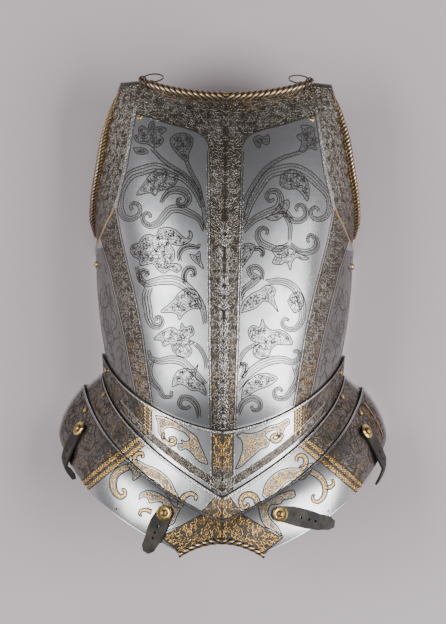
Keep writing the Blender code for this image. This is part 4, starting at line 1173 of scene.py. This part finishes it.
def draw_leaf(name, points, seed):
    """A leaf or flower: a closed outline, filled with small curls."""
    for body, place, shown in fields(name, points):
        outline = smooth_path(np.array(list(points) + [points[0]]) / 1000, 12 * len(points))
        turn = np.cross(outline, np.roll(outline, -1, axis=0)).sum()
        layer(body, "line").strip(place, outline, 0.00064, inside=shown)
        inner = outline + 0.0011 * np.sign(turn) * directions(outline)[1]
        box = (outline[:, 0].min(), outline[:, 0].max(), outline[:, 1].min(), outline[:, 1].max())

        def within(px, py):
            kept = contains(inner, px, py)
            return kept if shown is None else kept & shown(px, py)
        if name == "skirt":
            x, y = np.meshgrid(np.arange(box[0], box[1], 0.0006), np.arange(box[2], box[3], 0.0006))
            layer(body, "field").patch(place, x, y, within)
        if name == "torso":
            spray(body, "line", place, box, 0.0021, seed, within, 0.95, spacing=1.70)
        else:
            spray(body, "gold", place, box, 0.0023, seed, within, 0.80, spacing=2.2)


for name, halves, points in SCROLLS:
    draw_scroll(name, halves, points)
for seed, (name, points) in enumerate(LEAVES):
    draw_leaf(name, points, 100 + seed)
print("motifs:", len(SCROLLS), "scrolls,", len(LEAVES), "leaves and flowers")

# %% Fields of the lames
STRIP_MIDDLE = ((0.0928, -0.0979), (0.1258, -0.1253), (0.1605, -0.1547))    # of the pair of gilt strips


def gilt_field(number, low, high, half_width, size, seed, gilt_from=-1.0):
    """A dark field across the middle of a lame between two heights. Its foliage is gold above gilt_from."""
    body, place, shown = f"lame_{number}", on_lame(number), on_span(number)
    share, rows = np.linspace(-1, 1, 41)[None, :], np.linspace(0, 1, 24)[:, None]
    x = share * half_width(low + rows * (high - low))
    layer(body, "ground").patch(place, x, low + rows * (high - low) + 0 * x, shown)

    def within(px, ph):
        return (np.abs(px) < half_width(ph) - 0.0010) & (ph > low) & (ph < high) & shown(px, ph)
    box = (0.0008, float(half_width(np.array([low, high])).max()), low, high)
    for kind, part in (("gold", lambda px, ph: within(px, ph) & (ph > gilt_from)),
                       ("foliage", lambda px, ph: within(px, ph) & (ph <= gilt_from))):
        spray(body, kind, place, box, size, seed, part, 0.85, RAISED, True)
    h = np.linspace(low, high, 80)
    for side in (-1, 1):
        draw_lines(body, place, lambda offset: pair(side * (half_width(h) + offset), h),
                   ((0.0, "line", 0.0005), (0.0013, "bright", 0.0004)), shown)


gilt_field(1, -0.158, -0.0875, lambda h: 0.0125 + 0 * h, 0.0026, 31, -0.127)
gilt_field(2, -0.186, -0.150, lambda h: 0.0085 + 0.80 * np.clip(-0.1595 - h, 0, 1), 0.0026, 33)


# The field along the arch of the lowest lame
def field_top(x):
    return -0.178 - 0.558 * np.clip(np.abs(x) - 0.019, 0, 1)


def field_bottom(x):
    """A shallow curve over the arch, and a slope up on both sides of it."""
    x = np.abs(x)
    return np.where(x < 0.0455, -0.2105 - 0.0145 * (x / 0.0455) ** 2, -0.225 + 0.81 * (x - 0.0455))


x, rows = np.linspace(-0.069, 0.069, 81)[None, :], np.linspace(0, 1, 24)[:, None]
layer("lame_3", "ground").patch(on_lame(3), x + 0 * rows,
                                field_bottom(x) + rows * (field_top(x) - field_bottom(x)), on_span(3))
spray("lame_3", "gold", on_lame(3), (0.0008, 0.070, -0.227, -0.176), 0.0026, 35,
      lambda px, ph: (ph < field_top(px) - 0.001) & (ph > field_bottom(px) + 0.001) & lame_span(3, px, ph),
      0.85, RAISED, True)
FIELD_SIDE = ((0.019, -0.178), (0.045, -0.1925), (0.069, -0.206), (0.0585, -0.2145), (0.0462, -0.2245))
for side in (-1, 1):
    path = smooth_path([(side * across, height) for across, height in FIELD_SIDE], 80)
    layer("lame_3", "line").strip(on_lame(3), path, 0.0005, inside=on_span(3))
path = pair(np.linspace(-0.045, 0.045, 120), -0.2112 - 0.0145 * np.linspace(-0.99, 0.99, 120) ** 2)
layer("lame_3", "gold").strip(on_lame(3), path, 0.0010)

# The dark border along the lowest edge of the first lame, and the fields of all three at the sides
turn = np.radians(np.linspace(-58, 58, 161))[None, :]
fade = np.clip((np.radians(58) - np.abs(turn)) / 0.25, 0.02, 1)
rows = np.linspace(0, 1, 7)[:, None]
layer("lame_1", "ground").patch(along_lame(1), turn + 0 * rows,
                                1 - (0.0068 + rows * 0.0105 * fade) / band_width(turn, 0))


def strip_y(x):
    """Height of the middle of the gilt strips at a distance from the middle of the body."""
    return np.interp(np.abs(x), (0.0928, 0.1258, 0.1605, 0.19), (-0.0979, -0.1253, -0.1547, -0.180))


def beside_strips(number):
    """Which points of a lame lie on the side of the gilt strips that is away from the middle."""
    def outside(turn, band):
        x, y = lame_surface(number, turn, band)[0][..., :2].transpose(2, 0, 1)
        return (np.abs(x) > 0.0885) if number == 1 else (y - neck_shift > strip_y(x))
    return outside


for number, first in ((1, 36), (2, 36), (3, 44)):
    for side in (-1, 1):
        turn = side * np.radians(np.linspace(first, 87.5, 120))[None, :]
        low = number - 0.985
        band = low + (number - 0.005 - low) * np.linspace(0, 1, 40)[:, None]
        layer(f"lame_{number}", "side").patch(along_lame(number), turn + 0 * band, band,
                                              beside_strips(number))


def along_band(number):
    """A drawing along a lame in metres: x round the body and y down from the lame's upper line."""
    def place(x, down):
        turn = x / side_radius
        return lame_surface(number, turn, number - 1 + down / band_width(turn, number - 1))
    return place


for number, (low, high) in ((1, (0.004, 0.060)), (2, (0.004, 0.050)), (3, (0.006, 0.070))):
    beside = beside_strips(number)

    def inside(px, down, number=number, beside=beside):
        turn = px / side_radius
        band = number - 1 + down / band_width(turn, number - 1)
        return beside(turn, band) & (down > 0.003) & (band < number - 0.1) & (np.abs(px) < 0.246)
    for kind, size, seed, stroke in (("ground", 0.0085, 40, 0.85), ("line", 0.0085, 40, 0.18),
                                     ("line", 0.0036, 45, 0.45), ("dim_gold", 0.0085, 50, 0.26)):
        spray(f"lame_{number}", kind, along_band(number), (0.100, 0.245, low, high), size, seed + number,
              inside, stroke, FLAT, True)


def in_border(x, down):
    length = band_width(x / side_radius, 0)
    return (down > length - 0.0165) & (down < length - 0.0078)


fill("lame_1", "foliage", along_band(1), (0.002, 0.150, 0.020, 0.075), 0.0022, 61, in_border, True)
turn = np.radians(np.linspace(-57, 57, 300))
draw_lines("lame_1", along_lame(1), lambda drop: pair(turn, 1 - drop / band_width(turn, 0)),
           ((0.0064, "bright", 0.0005), (0.0075, "line", 0.0004), (0.0178, "bright", 0.0005)))

# Painted highlights along the upper edges of the lames (bright rims), and painted shadow on each lame under the
# edge of the next one (black joints)
turn = np.radians(np.linspace(-86, 86, 400))
rim = 0.0003 + 0.0008 * np.clip((math.radians(66) - np.abs(turn)) / 0.3, 0, 1)
for number in (1, 2, 3):
    length = band_width(turn, number - 1)
    draw_lines(f"lame_{number}", along_lame(number), lambda down: pair(turn, number - 1 + down / length),
               ((0.0017, "bright", rim), (0.0031, "line", 0.0003)))
    if number < 3:
        joint = pair(turn, number - 0.0009 / length)
        layer(f"lame_{number}", "line").strip(along_lame(number), joint, 0.0010)

# The pairs of gilt strips
for side in (-1, 1):
    lower = smooth_path([(side * across, height) for across, height in STRIP_MIDDLE], 160)
    upper = smooth_path([(side * 0.0885, height) for height in (-0.052, -0.070, -0.090)], 60)
    for number, path, half, apart in ((1, upper, 0.0022, 0.0028), (2, lower, 0.0031, 0.0037),
                                      (3, lower, 0.0031, 0.0037)):
        body, place, shown = f"lame_{number}", on_lame(number), on_span(number)
        ahead, square = directions(path)
        for offset in (-apart, apart):
            middle = path + offset * square
            layer(body, "ground").strip(place, middle, half, inside=shown)
            picks = np.arange(2, len(path) - 3, 3)
            slant = np.where(picks % 6 < 3, 1.0, -1.0)
            start = middle[picks] - (0.7 * half * slant)[:, None] * square[picks]
            heading = np.arctan2(ahead[picks, 1], ahead[picks, 0]) + 0.9 * slant
            dashes = curves(start, heading, 1.5 * half + 0 * slant, pair(-500 * slant, 700 * slant), 5)
            layer(body, "gold").strip(place, dashes, 0.00055, RAISED, inside=shown)
            for edge in (-1, 1):
                layer(body, "line").strip(place, middle + edge * half * square, 0.0004, inside=shown)

# A gilt border at the left end of the lowest lame, and a thin line at its right end
turn = np.radians(np.linspace(81.0, 82.5, 60))
band = np.linspace(2.10, 2.86, 60)
draw_lines("lame_3", along_lame(3), lambda offset: pair(turn + offset, band),
           ((0.0, "gold", 0.0022), (-0.026, "line", 0.0006), (-0.045, "dim_gold", 0.0016),
            (-0.066, "gold", 0.0006)))
layer("lame_3", "dim_gold").strip(along_lame(3), pair(-turn, band), 0.0008)

# %% The gussets' etching
def gusset_width(y):
    """Width of a gusset, its hidden lap included, at a distance above its foot."""
    height = gusset_height(1.0, y / (shoulder_height - gusset_foot_height))
    edge = gusset_edge_turn(height)
    shown = torso_section(height)[0] * (edge - np.minimum(arm_turn(height), edge))
    return np.maximum(shown + gusset_lap, 0.004)


for hand, side in (("right", -1.0), ("left", 1.0)):
    place = on_gusset(side)
    share, up = np.linspace(0.02, 0.985, 24)[None, :], np.linspace(0.02, 0.995, 80)[:, None]
    layer("breastplate", "ground").patch(place, share + 0 * up, up + 0 * share)

    def metric(x, y, side=side):
        """A drawing in metres: y up from the gusset's foot and x in from its arm edge."""
        height = gusset_height(1.0, y / (shoulder_height - gusset_foot_height))
        return gusset_surface(side, 1 - x / gusset_width(y), height)
    fill("breastplate", "foliage", metric, (0.0035, 0.062, 0.004, 0.240), 0.0024, 71,
         lambda px, py: (px < 0.97 * gusset_width(py)) & (px > 0.002) & (py > 0.002) & (py < 0.240))
    y = np.linspace(0.030, 0.232, 160)
    draw_lines("breastplate", metric, lambda inset: pair(np.full(160, inset), y),
               ((0.0012, "gold", 0.0009), (0.0027, "line", 0.0004)))

# %% Small holes
def draw_hole(body, place, x, y, radius):
    """A small hole: a disc of painted shade where one looks into it, and a painted highlight on its rim. Steps of
    the drawing are measured on the plate.
    """
    around = np.linspace(0, 2 * math.pi, 25)
    rings = np.linspace(0.05, 1, 4)[:, None]
    at = [place(np.array([x + dx]), np.array([y + dy]))[0][0] for dx, dy in ((0, 0), (0.01, 0), (0, 0.01))]
    across, along = (0.01 * radius / np.linalg.norm(point - at[0]) for point in at[1:])
    layer(body, "deep").patch(place, x + across * rings * np.cos(around), y + along * rings * np.sin(around))
    rim = pair(x + across * np.cos(around), y + along * np.sin(around))
    layer(body, "bright").strip(place, rim, 0.0003)


draw_hole("lame_1", along_lame(1), 0.0, 0.717, 0.0017)
for side in (-1, 1):
    draw_hole("lame_3", along_lame(3), side * math.radians(39.4), 2.9, 0.0011)
draw_hole("breastplate", on_gusset(1.0), 0.55, 0.62, 0.0010)

ETCHED = tuple(etching.name for etching in etchings.values())
total = 0
for etching in etchings.values():
    if sum(len(faces) for faces in etching.faces):
        total += len(etching.make().data.polygons)
print("faces of the etching:", total)

# %% [markdown]
# ## Rivets, straps and rings
#
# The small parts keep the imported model's shapes and get worn finishes: gilt brass for the rivets and
# rosettes, browned iron for the wire, and for the straps a dark leather, creased and rubbed brown.

# %% Finishes of the small parts
def brass_finish(name, light, dark, roughness):
    f = Finish(name)
    wear = f.noise(260.0, 3.0, rough=0.6).clamp(0.42, 0.72)
    return f.done(Base_Color=f.mix(light, dark, wear), Metallic=1.0, Roughness=roughness + wear * 0.2,
                  Normal=f.relief(f.noise(500.0, 2.0), 0.0002, 0.5))


gilt_brass = brass_finish("gilt_brass", (0.86, 0.63, 0.26), (0.36, 0.23, 0.09), 0.24)
dark_brass = brass_finish("dark_brass", (0.46, 0.31, 0.13), (0.12, 0.08, 0.045), 0.30)
browned_iron = brass_finish("browned_iron", (0.16, 0.125, 0.10), (0.06, 0.045, 0.035), 0.38)

hide = Finish("worn_leather")
rubbed = hide.noise(45.0, 4.0, rough=0.6).clamp(0.45, 0.75)
crease = hide.noise(240.0, 4.0, where=hide.place((1.0, 2.4, 1.0)), rough=0.7)
grain = hide.noise(1500.0, 2.0)
worn_leather = hide.done(Base_Color=hide.mix((0.020, 0.017, 0.014), (0.075, 0.056, 0.040), rubbed),
                         Metallic=0.0, Roughness=0.62 - rubbed * 0.2,
                         Normal=hide.relief(crease * 0.7 + grain * 0.3, 0.0007, 0.8))
for node in [o for o in bpy.data.objects if o.type == "MESH"]:
    for start, finish in (("gusset_rivet", gilt_brass), ("side_rivet", gilt_brass), ("lame_", gilt_brass),
                          ("rosette_stud", dark_brass), ("rosette", gilt_brass), ("strap_", worn_leather),
                          ("shoulder_", browned_iron)):
        if node.name.startswith(start) and len(node.material_slots) and not node.name.startswith(ETCHED):
            for holder in node.material_slots:
                holder.material = finish
            break
print("small parts finished")

# %% [markdown]
# ## Floor and lights
#
# The armour lies on pale grey paper between two large soft lights, the stronger one on the right. Polished
# steel is mostly what it mirrors, so the lights are placed for their reflections: each big panel of the
# chest mirrors one of them, while the ridge and the neck mirror the dark room above.

# %% Floor
paper = Finish("paper")
tone = paper.noise(1.4, 3.0).clamp(0.3, 0.7)
fibre = paper.noise(600.0, 2.0)
paper_finish = paper.done(Base_Color=paper.mix((0.72, 0.635, 0.665), (0.78, 0.70, 0.728), tone),
                          Roughness=0.85 + fibre * 0.1, Normal=paper.relief(fibre, 0.0002, 0.3))
floor_mesh = bpy.data.meshes.new("floor")
floor_mesh.from_pydata([(x, y, -0.0004) for x, y in ((-3, -3), (3, -3), (3, 3), (-3, 3))], [], [(0, 1, 2, 3)])
floor_mesh.materials.append(paper_finish)
floor = bpy.data.objects.new("floor", floor_mesh)
bpy.context.scene.collection.objects.link(floor)


# %% Lights
def add_softbox(name, place, target, width, length, power):
    light = bpy.data.lights.new(name, "AREA")
    light.shape, light.size, light.size_y, light.energy = "RECTANGLE", width, length, power
    box = bpy.data.objects.new(name, light)
    bpy.context.scene.collection.objects.link(box)
    box.location = place
    box.rotation_euler = (Vector(target) - Vector(place)).to_track_quat("-Z", "Y").to_euler()


add_softbox("key_right", (1.55, -0.28, 1.20), (0.0, -0.05, 0.05), 1.2, 1.45, 37.0)
add_softbox("fill_left", (-1.50, -0.10, 1.25), (0.0, 0.0, 0.05), 1.1, 1.0, 24.0)
world = bpy.data.worlds.new("room")
world.use_nodes = True
world.node_tree.nodes["Background"].inputs["Color"].default_value = (0.30, 0.295, 0.30, 1.0)
world.node_tree.nodes["Background"].inputs["Strength"].default_value = 0.55
bpy.context.scene.world = world
